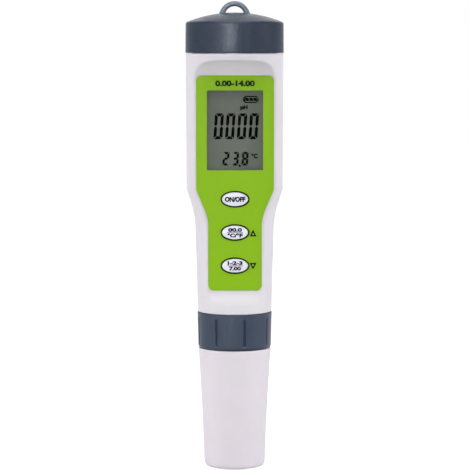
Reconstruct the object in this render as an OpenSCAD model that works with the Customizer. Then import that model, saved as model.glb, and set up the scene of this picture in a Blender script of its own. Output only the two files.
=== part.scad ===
// Pocket tester pen for acidity, conductivity and temperature.
// It stands on its protective cap: the origin is the middle of the cap's base,
// +Z runs up the pen and the display faces -Y. All sizes are in millimetres.

/* [Clearances] */
// Gap between outer mouldings that meet end to end
seam_gap = 0.2; // [0.15:0.05:0.3]
// Radial gap around a curved face that moves inside another
fit_gap = 0.3; // [0.25:0.05:0.35]
// Gap around a piece that is pressed or stuck in place
press_gap = 0.1; // [0.05:0.05:0.15]
// Gap at a sealing ring or a guiding face
run_gap = 0.05; // [0.03:0.01:0.08]

/* [Protective cap] */
// Height of the protective cap
cap_h = 47.1; // [44:0.1:52]
// How much less the cap's mouth measures in radius than the collar
cap_step = 0.02; // [0:0.01:0.3]
// How much the cap narrows from mouth to base
cap_draft = 2.33; // [1.8:0.01:2.6]
// How far the cap's side bows in between base and mouth
cap_bow = 0.24; // [0:0.02:0.5]
// Rounding of the cap's foot
cap_foot_round = 1.8; // [1:0.1:2.5]
// Wall of the cap near its base
cap_wall = 1.65; // [1.2:0.05:1.9]
// Floor of the cap
cap_floor = 1.8; // [1.4:0.1:2.4]
// Length of the straight sealing bore at the cap's mouth
cap_seal_h = 10.7; // [9.5:0.1:12]
// Thickness of the storage sponge
sponge_h = 3.7; // [2.5:0.1:4.5]

/* [Collar] */
// Height of the screw collar
collar_h = 14; // [13.6:0.1:18]
// How far the collar's upper edge stands out past the shell
collar_step = 0.15; // [0:0.05:0.4]
// How much the collar narrows downwards
collar_draft = 0.35; // [0:0.05:0.6]
// Wall of the collar over its thread and around its clip pocket
collar_wall = 2; // [1.8:0.05:2.3]
// Number of grip grooves
grip_count = 8; // [6:1:12]
// Depth of a grip groove
grip_d = 0.6; // [0.4:0.05:0.7]
// Angle of the first groove, from the front towards +X
grip_phase = 14.6; // [0:0.1:45]
// Plain band above the grooves
grip_top_band = 1.8; // [1:0.1:3]
// Plain band below the grooves
grip_low_band = 1.3; // [1:0.1:3]
// Height of the pocket for the clip under the lip
clip_pocket_h = 1.5; // [1.4:0.05:1.8]
// Thickness of the lip that carries the probe's flange
lip_h = 1.5; // [1.2:0.1:2]

/* [Shell] */
// Radius of the shell at its lower edge
shell_low_r = 14.5; // [14.3:0.05:15.2]
// How much the slim part widens up to its waist
waist_flare = 0.99; // [0.6:0.01:1.4]
// Radius of the shell at its upper edge
shell_top_r = 19.03; // [18.9:0.05:21]
// How much less the radius is at the top of the shoulder
shoulder_draft = 0.16; // [0:0.01:0.4]
// Height of the shoulder, from the waist up
shoulder_h = 11; // [9:0.1:12]
// Distance from the display window down to the shoulder's top
shoulder_drop = 7.5; // [6:0.1:8]
// Rounding of the waist
waist_round = 39; // [20:1:42]
// Rounding of the shoulder
shoulder_round = 2.5; // [1:0.5:5]
// Wall of the shell
wall = 1.8; // [1.5:0.05:2]
// Wall of the threaded spigot under the shell
spigot_wall = 1.85; // [1.5:0.05:2.1]

/* [Front recess] */
// Distance of the flat front from the axis
flat_d = 10.2; // [9.9:0.05:10.5]
// Height of shell left above the recess
recess_top = 2.8; // [2.4:0.1:3.6]
// Height of shell left below the recess
recess_low = 4.1; // [3:0.1:5]
// Radius of the cove at the top of the recess
cove_top_r = 8; // [6:0.1:8.4]
// Radius of the cove at the foot of the recess
cove_low_r = 4; // [3:0.1:4.3]

/* [Front panel] */
// Thickness of the panel
panel_t = 0.5; // [0.4:0.05:0.8]
// Depth of the pocket that the panel lies in
panel_pocket = 0.3; // [0.2:0.05:0.35]
// Distance from the top of the recess to the panel
panel_top_gap = 5.7; // [4.5:0.1:7]
// Distance from the foot of the recess to the panel
panel_low_gap = 5; // [4.2:0.1:7]
// Distance from the panel's foot to the lowest key's centre
panel_foot = 9.7; // [6:0.1:12]
// White strip beside the wide part of the panel
panel_top_rim = 0.85; // [0.5:0.05:1.4]
// White strip beside the narrow part of the panel
panel_low_rim = 0.3; // [0.25:0.05:0.6]
// Slope of the panel's sides at the shoulder, from upright
panel_slope = 23; // [20:1:26]
// Rounding of the panel's corners
panel_corner_round = 1.3; // [0.6:0.1:2]
// Rounding where the panel narrows
panel_waist_round = 16; // [8:1:20]

/* [Display] */
// Green border beside the display window
window_side = 4.13; // [4:0.01:6]
// Height of the display window
window_h = 30.9; // [28:0.1:31.5]
// Distance from the panel's top edge to the window
window_top_gap = 5.7; // [5:0.1:7]
// Overlap of the panel on the clear lens, all round
lens_lap = 0.5; // [0.3:0.05:0.7]
// How far the liquid crystal glass reaches past the window at each side
glass_side = 2.1; // [1.6:0.1:2.3]
// How far it reaches past the window at top and foot
glass_end = 0.9; // [0.7:0.1:1.2]
// Height of the contact ledge that its rear glass adds at the foot
glass_ledge = 1.8; // [1:0.1:2.4]
// Thickness of each of the two glasses
glass_t = 1; // [0.7:0.05:1.1]
// Wall of the frame that holds the glass
holder_wall = 1; // [0.8:0.05:1.2]
// Thickness of the reflector behind the glass
reflector_t = 0.2; // [0.1:0.05:0.3]
// Width of an elastomer contact strip
zebra_w = 1.8; // [1.4:0.1:2.2]

/* [Keys] */
// Width of a key's oval face
key_w = 10.1; // [9.4:0.1:10.6]
// Height of a key's oval face
key_h = 5.35; // [5:0.05:5.8]
// Distance between keys
key_pitch = 12.95; // [12:0.05:13.2]
// Distance from the window to the first key's centre
key_first = 11.2; // [10.5:0.1:12]
// Width of the dark ring around a key, with its gap
key_ring = 0.57; // [0.45:0.01:0.7]
// Gap between a key and its ring
key_gap = 0.12; // [0.1:0.01:0.15]
// How far a key stands out of the panel
key_proud = 0.25; // [0.1:0.05:0.5]
// Width of a key's inner rim
key_rim = 0.85; // [0.6:0.05:1]
// Thickness of that rim
key_rim_t = 0.8; // [0.6:0.05:1]
// Travel of a key
key_travel = 0.5; // [0.3:0.05:0.6]
// Width of a push switch
switch_w = 6; // [5:0.1:6.5]
// Height of a push switch
switch_h = 2.7; // [2.4:0.1:2.9]
// Radius of the switch plungers
plunger_r = 1.7; // [1.4:0.1:1.9]
// Depth of a plunger in its switch
plunger_in = 1.1; // [0.9:0.1:1.2]

/* [Circuit board] */
// Depth of the space between the front wall and the board
board_depth = 4.4; // [4.2:0.1:5]
// Thickness of the board
board_t = 1.6; // [1:0.1:2]
// Rounding of the board's corners
board_round = 1; // [0.5:0.1:1.5]
// Distance of the board's upper screws from its corner, sideways
screw_inset = 5; // [4:0.1:6]
// Space between the board's side and the shell's inner wall
board_side = 1.3; // [1:0.1:2]
// Space between the board's wide part and the inner wall
board_top_side = 2.6; // [2.2:0.1:3.5]
// Width of the board's tongue at the probe
tongue_w = 12.4; // [12:0.1:13]
// Thickness of the chassis behind the board
chassis_t = 1.6; // [1.2:0.1:2]
// Width of the opening in the chassis
chassis_window_w = 15; // [13:0.5:16]
// Height of that opening
chassis_window_h = 42; // [40:1:46]
// Distance of its middle above the shoulder's top
chassis_window_rise = 6; // [4:0.5:8]
// Radius of the board's screws
screw_r = 0.8; // [0.6:0.05:1]
// Radius of the screw heads
screw_head_r = 1.6; // [1.4:0.1:1.8]
// Height of the screw heads
screw_head_h = 0.9; // [0.7:0.05:1.1]
// Side of the controller chip
chip_w = 10; // [8:0.5:11]
// Thickness of the controller chip
chip_t = 1.5; // [1:0.1:1.8]

/* [Battery compartment] */
// How far the threaded neck stands back from the shell's side
neck_step = 2.43; // [2.3:0.01:2.7]
// Height of the neck above the shell
neck_h = 9.6; // [9.2:0.1:11]
// Wall of the neck
neck_wall = 1.9; // [1.5:0.05:2.1]
// Depth that the neck's root is let into the shell
neck_root_h = 5; // [4.4:0.1:5.6]
// Wall of the shell around that root
neck_root_wall = 1.3; // [1:0.05:1.45]
// Diameter of a button cell
cell_d = 11.6; // [11.4:0.1:11.8]
// Height of a button cell
cell_h = 5.4; // [5.2:0.1:5.5]
// Diameter of a button cell's raised end
cell_button_d = 9.7; // [9:0.1:10]
// Number of button cells
cell_count = 4; // [3:1:4]
// Wall of the battery tray
tray_wall = 1.2; // [1:0.05:1.5]
// How far the tray's sides reach past the middle of the cells
tray_wrap = 3.3; // [2:0.1:4]
// Room for the spring under the cells
spring_h = 1.2; // [1:0.1:1.5]
// Thickness of the contact plates
contact_t = 0.3; // [0.2:0.05:0.35]
// Width of the contact plates
contact_w = 6; // [4:0.5:8]
// Distance of the tray's end below the neck's rim
tray_below_rim = 2.1; // [1.8:0.1:3]

/* [Battery cap] */
// How far the battery cap stands out past the shell
lid_step = 0.17; // [0:0.01:0.4]
// How much its wall narrows upwards
lid_draft = 0.1; // [0:0.05:0.4]
// Distance from the seal's ceiling to the top of the dome
lid_top_h = 4.9; // [4.6:0.1:5.6]
// Rise of the dome
dome_rise = 3.7; // [3.2:0.1:4]
// Thickness of the dome
dome_t = 2.3; // [2:0.1:2.6]
// Rounding of the cap's rim
rim_round = 1.3; // [0.8:0.1:1.6]
// Thickness of the cap's seal
seal_t = 1; // [0.8:0.1:1.2]
// Outer radius of the lanyard loop
loop_r = 5.9; // [5:0.1:7]
// Width of the loop's bar, seen from the front
loop_bar = 2.05; // [1.6:0.05:2.4]
// Depth of the loop's bar, front to back
loop_depth = 3; // [2:0.1:4]
// Rounding of the loop's edges
loop_round = 0.6; // [0.3:0.05:0.7]
// Distance from the top of the dome down to the loop's centre
loop_sink = 1.1; // [0.9:0.05:1.25]

/* [Probe] */
// How far the probe's flange stands out past its upper stem
flange_step = 1.15; // [1:0.05:1.4]
// Thickness of the flange
flange_h = 1.9; // [1.5:0.1:2.2]
// Height of the plug above the flange
plug_h = 5; // [4.6:0.1:5.4]
// How much slimmer the stem is above the guard
stem_step = 1.6; // [1.4:0.05:1.9]
// Length of the slim stem with its cone
stem_h = 6; // [5:0.1:7]
// Height of the cone between slim and upper stem
stem_cone_h = 2.5; // [2:0.1:3]
// Rounding at both ends of that cone
stem_round = 1; // [0.5:0.1:1.5]
// Length of the guard
guard_h = 17; // [16.5:0.1:18]
// Wall of the guard
guard_wall = 1.6; // [1.4:0.05:1.8]
// Depth of the guard's fit on the probe
boss_h = 5; // [4:0.1:5.4]
// Number of windows in the guard
guard_windows = 4; // [3:1:4]
// Width of a guard window
guard_window_w = 8; // [6:0.5:9]
// Rounding of the windows' corners
guard_window_round = 3; // [1:0.5:3]
// Ring left below the windows
guard_ring_h = 2.6; // [2:0.1:3]
// Depth of the sealing ring grooves
seal_groove_d = 1.1; // [1:0.05:1.2]
// Width of the sealing ring grooves
seal_groove_w = 1.8; // [1.6:0.1:2]
// Distance from the cap's mouth down to the stem's sealing ring
stem_seal_drop = 4.7; // [4:0.1:6]
// Depth of the clip's groove
clip_groove_d = 0.8; // [0.6:0.05:1]
// Thickness of the clip
clip_t = 0.9; // [0.7:0.05:1]
// Angle over which the clip is open
clip_gap_angle = 50; // [30:5:80]
// Width of the rib that keeps the probe from turning
rib_w = 1.8; // [1.4:0.1:2.4]
// Height of that rib out of the plug
rib_d = 0.8; // [0.6:0.05:0.9]

/* [Electrodes] */
// Radius of the glass bulb
bulb_r = 3.2; // [2.9:0.05:3.4]
// Radius of the bulb's stem
bulb_stem_r = 2.6; // [2.3:0.05:2.7]
// Thickness of the glass
bulb_wall = 0.5; // [0.4:0.05:0.6]
// Distance of the bulb from the probe's side
bulb_inset = 0.7; // [0.5:0.05:0.9]
// Length of glass stem held in the probe
bulb_held = 10; // [8:0.5:12]
// Radius of the wire in the bulb
wire_r = 0.4; // [0.3:0.05:0.5]
// Radius of a conductivity pin
pin_r = 1.2; // [1:0.05:1.3]
// Distance of those pins from each other
pin_spread = 5.6; // [5:0.1:6]
// Distance of those pins from the probe's side, sideways
pin_inset = 3.3; // [3.1:0.1:3.7]
// Length of the electrodes below the probe's face
pin_out = 5.8; // [5:0.1:6.2]
// Radius of the temperature sensor and of the reference junction
sensor_r = 1.3; // [1.1:0.05:1.4]
// Distance of both from the probe's side
sensor_inset = 1.4; // [1.2:0.05:1.6]
// Length of the reference junction below the probe's face
junction_out = 0.8; // [0.4:0.1:1.5]
// Length of the pins held in the probe
pin_held = 6; // [5:0.5:8]

/* [Probe connector] */
// Radius of a contact pin
contact_pin_r = 0.32; // [0.25:0.01:0.4]
// Spacing of the contact pins
contact_pitch = 2.54; // [2.3:0.01:2.8]
// Length of the contact pins in the socket
contact_in = 4.5; // [4:0.1:5]
// Length of the contact pins in the probe's plug
contact_held = 3; // [2.5:0.1:4]
// Gap between the plug and the socket
socket_gap = 0.5; // [0.4:0.1:0.8]
// Height of the socket
socket_h = 8; // [7:0.1:9]
// Width of the socket
socket_w = 10; // [9.5:0.1:11]
// Depth of the socket, front to back
socket_d = 5.6; // [5.2:0.1:6]

/* [Hidden] */
$fn = 96;
arc_steps = 6;
dome_steps = 8;
oval_points = 40;
// How far a cutter runs past a face, and a small rounding
through = 1;
edge = 0.3;

// Heights along the pen, from the foot up
z_bore = cap_h - cap_seal_h;
z_collar = cap_h + seam_gap;
z_lip = z_collar + clip_pocket_h;
z_flange = z_lip + lip_h + seam_gap;
z_plug = z_flange + flange_h;
z_plug_top = z_plug + plug_h;
z_spigot = z_plug + seam_gap;
z_shell = z_collar + collar_h + seam_gap;
z_sill = z_shell + recess_low;
z_panel_low = z_sill + panel_low_gap;
key_zs = [for (i = [2:-1:0]) z_panel_low + panel_foot + i * key_pitch];
z_window_low = key_zs[0] + key_first;
z_window = z_window_low + window_h / 2;
z_panel_top = z_window_low + window_h + window_top_gap;
z_arch = z_panel_top + panel_top_gap;
z_shell_top = z_arch + recess_top;
z_shoulder = z_window_low - shoulder_drop;
z_waist = z_shoulder - shoulder_h;
z_neck_root = z_shell_top - neck_root_h;
z_rim = z_shell_top + neck_h;
z_lid = z_shell_top + seam_gap;
z_ceiling = z_rim + seal_t + 2 * run_gap;
z_crest = z_ceiling + lid_top_h;

// Depths from the front wall backwards
y_flat = -flat_d;
y_pocket = y_flat + panel_pocket;
y_panel = y_pocket - panel_t;
y_inner = y_flat + wall;
y_glass = y_inner + press_gap;
y_glass_back = y_glass + 2 * glass_t;
y_board = y_inner + board_depth;
y_board_back = y_board + board_t;
y_chassis_back = y_board_back + chassis_t;
y_switch = y_board - switch_h;
y_key_back = y_glass + key_rim_t;

// Radii of the outside, each from the piece that it lines up with
shell_waist_r = shell_low_r + waist_flare;
shell_shoulder_r = shell_top_r - shoulder_draft;
lid_low_r = shell_top_r + lid_step;
lid_top_r = lid_low_r - lid_draft;
collar_top_r = shell_low_r + collar_step;
collar_low_r = collar_top_r - collar_draft;
cap_mouth_r = collar_low_r - cap_step;
cap_base_r = cap_mouth_r - cap_draft;
dome_r = (lid_top_r * lid_top_r + dome_rise * dome_rise) / (2 * dome_rise);
// Size of a cutter that reaches past the whole pen
reach = 3 * lid_low_r;

// Radii of the pieces that slide over or into each other, from the outside in
collar_bore_r = collar_top_r - collar_wall;
clip_pocket_r = collar_low_r - collar_wall;
spigot_r = collar_bore_r - fit_gap;
spigot_bore_r = spigot_r - spigot_wall;
plug_r = spigot_bore_r - fit_gap;
flange_r = spigot_r;
land_r = flange_r - flange_step;
bore_r = land_r + fit_gap;
clip_r = clip_pocket_r - fit_gap;
clip_root_r = land_r - clip_groove_d;
stem_r = land_r - stem_step;
boss_r = stem_r - guard_wall - press_gap;
cavity_r = cap_base_r - cap_wall;
neck_r = shell_top_r - neck_step;
neck_bore_r = neck_r - neck_wall;
lid_bore_r = neck_r + fit_gap;

// Heights on the probe, from its upper stem down
z_land = z_bore + through;
z_guard_top = z_land - stem_h;
z_face = z_guard_top - boss_h;
z_tip = z_guard_top - guard_h;
z_bulb = z_face - pin_out + bulb_r;
z_clip = z_lip - seam_gap - clip_t;
z_stem_seal = cap_h - stem_seal_drop;
z_plug_seal = (z_spigot + z_plug_top) / 2;
z_socket = z_plug_top + socket_gap;

// The battery tray, from the neck's rim down
cell_gap = 0.05;
z_tray_top = z_rim - tray_below_rim;
z_cells_top = z_tray_top - tray_wall - contact_t - cell_gap;
z_cells = z_cells_top - cell_count * (cell_h + cell_gap) + cell_gap;
z_tray = z_cells - spring_h - tray_wall;
tray_r = cell_d / 2 + 2 * press_gap;
y_cells = y_chassis_back + tray_wall + tray_r;

// The display, from the panel's border inwards
panel_top_half = half_chord(shell_shoulder_r, flat_d) - panel_top_rim;
panel_low_half = half_chord(shell_r(z_panel_low), flat_d) - panel_low_rim;
window_w = 2 * (panel_top_half - window_side);
glass_w = window_w + 2 * glass_side;
glass_h = window_h + 2 * glass_end;

// The electrodes, from the probe's side inwards
bulb_x = boss_r - bulb_r - bulb_inset;
pin_x = boss_r - pin_inset;
sensor_x = (pin_x - bulb_x) * 2 / 3;
sensor_y = boss_r - sensor_r - sensor_inset;

// The first two numbers of a corner
function xy(p) = [p[0], p[1]];
function unit(v) = v / norm(v);
// An angle brought between -180 and 180
function turned(a) = (a + 540) % 360 - 180;
function arc(centre, r, from, to, n) =
    [for (i = [0:n]) centre + r * [cos(from + (to - from) * i / n), sin(from + (to - from) * i / n)]];
// The arc of radius r that rounds the corner b of the path a, b, c
function corner_arc(a, b, c, r, n) =
    let (u = unit(a - b), v = unit(c - b), half = acos(u * v) / 2)
    let (centre = b + unit(u + v) * r / sin(half))
    let (p = b + u * r / tan(half) - centre, q = b + v * r / tan(half) - centre)
    let (from = atan2(p[1], p[0]))
    arc(centre, r, from, from + turned(atan2(q[1], q[0]) - from), n);
// A closed outline from corners [x, y, rounding]
function rounded(corners) =
    let (last = len(corners) - 1)
    [for (i = [0:last])
        let (before = corners[i == 0 ? last : i - 1], at = corners[i])
        let (after = corners[i == last ? 0 : i + 1])
        each at[2] > 0 ? corner_arc(xy(before), xy(at), xy(after), at[2], arc_steps) : [xy(at)]];
function oval(w, h) =
    [for (i = [0:oval_points - 1]) let (a = 360 * i / oval_points) [w / 2 * cos(a), h / 2 * sin(a)]];
function rectangle(w, low, high, round) =
    [[-w / 2, low, round], [w / 2, low, round], [w / 2, high, round], [-w / 2, high, round]];

// Half the width of a flat cut at distance d from the axis of a round part
function half_chord(r, d) = sqrt(r * r - d * d);
// The shell's outer radius at a height, leaving its roundings out
function shell_r(z) = lookup(z, [
    [z_shell, shell_low_r], [z_waist, shell_waist_r],
    [z_shoulder, shell_shoulder_r], [z_shell_top, shell_top_r]
]);
// Height of the battery cap's dome over a point at radius r
function dome_z(r) = z_crest - dome_r + sqrt(dome_r * dome_r - r * r);

module revolve(corners) rotate_extrude() polygon(rounded(corners));
// Carries an outline drawn in X and Z from the plane y = front to the plane y = back
module slab(front, back) translate([0, back, 0]) rotate([90, 0, 0]) linear_extrude(back - front) children();
module peg(x, y, low, high, r, round = 0)
    translate([x, y, 0]) revolve([[0, low, 0], [r, low, round], [r, high, 0], [0, high, 0]]);
module oval_at(z, w, h) translate([0, z]) polygon(oval(w, h));
// A ring of round section around the pen's axis
module seal_ring(z, inner, outer)
    rotate_extrude() translate([(inner + outer) / 2, z]) circle(d = outer - inner);

// The space that the front recess takes, grown by a wall's thickness for the shell's inside
module recess(grow) {
    low = [-flat_d - cove_low_r, z_sill + cove_low_r];
    high = [-flat_d - cove_top_r, z_arch - cove_top_r];
    outline = concat(
        [[-reach, z_sill - grow]], arc(low, cove_low_r + grow, -90, 0, 2 * arc_steps),
        arc(high, cove_top_r + grow, 0, 90, 2 * arc_steps), [[-reach, z_arch + grow]]);
    translate([-reach / 2, 0, 0]) rotate([90, 0, 90]) linear_extrude(reach) polygon(outline);
}

// The shell's inside, drawn in by a gap for what fits in it
module inside(gap) revolve([
    [0, z_shell + wall + gap, 0],
    [shell_low_r - wall - gap, z_shell + wall + gap, 0],
    [shell_waist_r - wall - gap, z_waist, 0],
    [shell_shoulder_r - wall - gap, z_shoulder, 0],
    [shell_top_r - wall - gap, z_neck_root, 0],
    [shell_top_r - neck_root_wall - gap, z_neck_root, 0],
    [shell_top_r - neck_root_wall - gap, z_shell_top + through, 0],
    [0, z_shell_top + through, 0]
]);

// Outline of the front panel: wide beside the display, narrow beside the keys
module panel_outline(grow) {
    top = panel_top_half + grow;
    low = panel_low_half + grow;
    lift = grow * tan(panel_slope / 2);
    z_corner = z_shoulder - lift;
    z_narrow = z_corner - (top - low) / tan(panel_slope);
    side = [
        [low, z_panel_low - grow, panel_corner_round],
        [low, z_narrow, panel_waist_round],
        [top, z_corner, panel_corner_round],
        [top, z_panel_top + grow, panel_corner_round]
    ];
    other_side = [for (i = [len(side) - 1:-1:0]) [-side[i][0], side[i][1], side[i][2]]];
    polygon(rounded(concat(side, other_side)));
}

module housing() color("#e4e0e6") difference() {
    union() {
        revolve([
            [0, z_shell, 0], [shell_low_r, z_shell, edge], [shell_waist_r, z_waist, waist_round],
            [shell_shoulder_r, z_shoulder, shoulder_round], [shell_top_r, z_shell_top, edge],
            [0, z_shell_top, 0]
        ]);
        translate([0, 0, z_spigot]) cylinder(r = spigot_r, h = z_shell + wall / 2 - z_spigot);
    }
    recess(0);
    difference() {
        inside(0);
        recess(wall);
    }
    translate([0, 0, z_spigot - through])
        cylinder(r = spigot_bore_r, h = z_shell + wall + 2 * through - z_spigot);
    translate([-rib_w / 2 - press_gap, 0, z_spigot - through])
        cube([rib_w + 2 * press_gap, plug_r + rib_d + fit_gap, z_plug_top + 2 * through - z_spigot]);
    slab(-reach, y_pocket) panel_outline(press_gap);
    slab(-reach, y_inner + through) {
        translate([0, z_window]) square([window_w, window_h] + 2 * [lens_lap, lens_lap], center = true);
        for (z = key_zs) oval_at(z, key_w + 2 * fit_gap, key_h + 2 * fit_gap);
    }
}

module front_panel() color("#85b426") slab(y_panel, y_pocket) difference() {
    panel_outline(0);
    translate([0, z_window]) square([window_w, window_h], center = true);
    for (z = key_zs) oval_at(z, key_w + 2 * key_ring, key_h + 2 * key_ring);
}

module key_bezels() color("#1f3a14") slab(y_panel - edge / 2, y_pocket) for (z = key_zs) difference() {
    oval_at(z, key_w + 2 * (key_ring - run_gap), key_h + 2 * (key_ring - run_gap));
    oval_at(z, key_w + 2 * key_gap, key_h + 2 * key_gap);
}

module display_window() color("#c9d2cc") slab(y_pocket, y_inner)
    translate([0, z_window])
        square([window_w, window_h] + 2 * (lens_lap - press_gap) * [1, 1], center = true);

module lcd_holder() color("#d9d9d2") slab(y_glass, y_board) {
    glass_low = z_window - glass_h / 2 - glass_ledge;
    glass_high = z_window + glass_h / 2;
    outer = press_gap + holder_wall;
    inner = press_gap;
    difference() {
        polygon(rounded(rectangle(
            glass_w + 2 * outer, glass_low - outer, glass_high + outer, holder_wall)));
        polygon(rounded(rectangle(glass_w + 2 * inner, glass_low - inner, glass_high + inner, 0)));
    }
}

module lcd_glass() color("#656c64") {
    slab(y_glass, y_glass + glass_t) translate([0, z_window]) square([glass_w, glass_h], center = true);
    slab(y_glass + glass_t, y_glass_back) translate([-glass_w / 2, z_window - glass_h / 2 - glass_ledge])
        square([glass_w, glass_h + glass_ledge]);
}

module lcd_reflector() color("#aab4a8") slab(y_glass_back, y_glass_back + reflector_t)
    translate([0, z_window]) square([glass_w - zebra_w, glass_h - 2 * zebra_w], center = true);

module zebra_strips() color("#d8a6a0") slab(y_glass_back, y_board) {
    ends = [z_window - glass_h / 2 - glass_ledge + zebra_w / 2, z_window + glass_h / 2 - zebra_w / 2];
    for (z = ends) translate([0, z]) square([glass_w - 2 * zebra_w, zebra_w - press_gap], center = true);
}

// Outline of the circuit board: wide beside the display, a tongue at the probe
board_low_half = half_chord(shell_low_r - wall, y_board) - board_side;
board_top_half = half_chord(shell_shoulder_r - wall, y_board) - board_top_side;
z_board_low = z_socket + socket_h + socket_gap;
z_board_top = z_neck_root - socket_gap;
screw_spots = [
    for (side = [-1, 1], spot = [
        [board_top_half - screw_inset, z_board_top - screw_head_r - through],
        [board_low_half - screw_head_r - edge, (key_zs[1] + key_zs[2]) / 2]
    ]) [side * spot[0], spot[1]]
];

module main_board() color("#1f6b3a") difference() {
    slab(y_board, y_board_back) {
        side = [
            [tongue_w / 2, z_socket, edge], [tongue_w / 2, z_board_low, 0],
            [board_low_half, z_board_low, board_round],
            [board_low_half, z_waist + through, 2 * board_round],
            [board_top_half, z_shoulder, 2 * board_round], [board_top_half, z_board_top, board_round]
        ];
        other_side = [for (i = [len(side) - 1:-1:0]) [-side[i][0], side[i][1], side[i][2]]];
        polygon(rounded(concat(side, other_side)));
    }
    for (spot = screw_spots) translate([spot[0], y_board - through, spot[1]])
        rotate([-90, 0, 0]) cylinder(r = screw_r + press_gap, h = board_t + 2 * through);
}

module controller_chip() color("#24262a") slab(y_board_back, y_board_back + chip_t)
    translate([0, z_chassis_window]) square([chip_w, chip_w], center = true);

// Small parts on the back of the board, inside the chassis opening: [x, height, width, length, thickness]
small_parts = [
    [-4.2, -13, 3.9, 4.9, 1.5], [2.6, -13, 3.9, 4.9, 1.5], [-4, 12, 3.2, 1.6, 1.1], [4, 12, 3.2, 1.6, 1.1],
    [0, 16, 7, 3, 1.3]
];
module board_components() color("#3a3a3e") for (part = small_parts)
    slab(y_board_back, y_board_back + part[4])
        translate([part[0], z_chassis_window + part[1]]) square([part[2], part[3]], center = true);

module tactile_switches() color("#2b2c30") for (z = key_zs) difference() {
    slab(y_switch, y_board) translate([0, z]) square([switch_w, switch_w], center = true);
    translate([0, y_switch - through, z]) rotate([-90, 0, 0])
        cylinder(r = plunger_r + press_gap, h = through + plunger_in + key_travel + edge);
}

// The chassis follows the shell's inside, so it carries the board without play
z_chassis_low = z_board_low + board_t;
z_chassis_top = z_neck_root - edge;
z_chassis_window = z_shoulder + chassis_window_rise;
module chassis() color("#caccd0") difference() {
    intersection() {
        inside(press_gap);
        slab(y_board_back, y_chassis_back) translate([-reach / 2, z_chassis_low])
            square([reach, z_chassis_top - z_chassis_low]);
    }
    slab(y_board_back - through, y_chassis_back + through) translate([0, z_chassis_window])
        square([chassis_window_w, chassis_window_h], center = true);
    for (spot = screw_spots) translate([spot[0], y_board_back - through, spot[1]])
        rotate([-90, 0, 0]) cylinder(r = screw_r + run_gap, h = chassis_t + 2 * through);
}

module board_screws() color("#b9bcc2") for (spot = screw_spots) translate([spot[0], 0, spot[1]])
    rotate([-90, 0, 0]) union() {
        translate([0, 0, y_board - screw_head_h]) cylinder(r = screw_head_r, h = screw_head_h);
        translate([0, 0, y_board - screw_head_h / 2]) cylinder(r = screw_r, h = board_t + chassis_t);
    }

// The neck is let into the top of the shell, and its root is cut away behind the recess
module battery_neck() color("#dedbe0") difference() {
    revolve([
        [neck_bore_r, z_neck_root, 0], [shell_top_r - neck_root_wall - press_gap, z_neck_root, 0],
        [shell_top_r - neck_root_wall - press_gap, z_shell_top, 0], [neck_r, z_shell_top, 0],
        [neck_r, z_rim, 2 * edge], [neck_bore_r, z_rim, edge]
    ]);
    recess(wall + press_gap);
}

module battery_tray() color("#3b3e44") difference() {
    width = 2 * (tray_r + tray_wall);
    slab(y_chassis_back, y_cells + tray_wrap)
        polygon(rounded(rectangle(width, z_tray, z_tray_top, board_round)));
    translate([0, y_cells, z_tray + tray_wall])
        cylinder(r = tray_r, h = z_tray_top - z_tray - 2 * tray_wall);
    translate([-contact_w / 2 - press_gap, y_chassis_back + tray_wall, z_tray + tray_wall])
        cube([contact_w + 2 * press_gap, tray_r, z_tray_top - z_tray - 2 * tray_wall]);
}

module button_cells() color("#c4c8cc") for (i = [0:cell_count - 1])
    translate([0, y_cells, z_cells + i * (cell_h + cell_gap)]) revolve([
        [0, 0, 0], [cell_button_d / 2, 0, edge / 3], [cell_button_d / 2, edge, 0],
        [cell_d / 2 - edge, 2 * edge, edge / 3], [cell_d / 2, 3 * edge, 0], [cell_d / 2, cell_h, edge],
        [0, cell_h, 0]
    ]);

// A plate at each end of the cells, the lower one with a bent spring tongue
module cell_contacts() color("#cfc7a8") {
    floor_z = z_tray + tray_wall;
    free = spring_h - contact_t - cell_gap;
    translate([-contact_w / 2, y_cells - contact_w / 2, z_cells_top + cell_gap])
        cube([contact_w, contact_w, contact_t]);
    translate([-contact_w / 2, y_cells, 0]) rotate([90, 0, 90]) linear_extrude(contact_w) polygon([
        [-contact_w / 2, floor_z], [contact_w / 2, floor_z], [contact_w / 2, floor_z + contact_t],
        [-contact_w / 4, floor_z + contact_t], [contact_w / 4, floor_z + free],
        [contact_w / 3, floor_z + free], [contact_w / 3, floor_z + free + contact_t],
        [contact_w / 5, floor_z + free + contact_t], [-contact_w / 2, floor_z + contact_t]
    ]);
}

// Six contacts in two rows, between the tongue of the board and the probe's plug
contact_spots = [for (i = [-1:1], j = [-1, 1]) [i * contact_pitch, j * contact_pitch / 2]];
y_socket = y_board_back + socket_d / 2;
module probe_socket() color("#e8e4d8") difference() {
    translate([-socket_w / 2, y_board_back, z_socket]) cube([socket_w, socket_d, socket_h]);
    for (spot = contact_spots) translate([spot[0], y_socket + spot[1], z_socket - through])
        cylinder(r = contact_pin_r + press_gap, h = contact_in + through + socket_gap);
}

module probe_pins() color("#d6b656") for (spot = contact_spots)
    peg(spot[0], y_socket + spot[1], z_plug_top - contact_held, z_socket + contact_in, contact_pin_r,
        contact_pin_r / 3);

module cap_seal() color("#4a4e54") revolve([
    [neck_bore_r - press_gap, z_rim + run_gap, 0], [lid_bore_r - seam_gap, z_rim + run_gap, 0],
    [lid_bore_r - seam_gap, z_rim + run_gap + seal_t, 0],
    [neck_bore_r - press_gap, z_rim + run_gap + seal_t, 0]
]);

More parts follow.
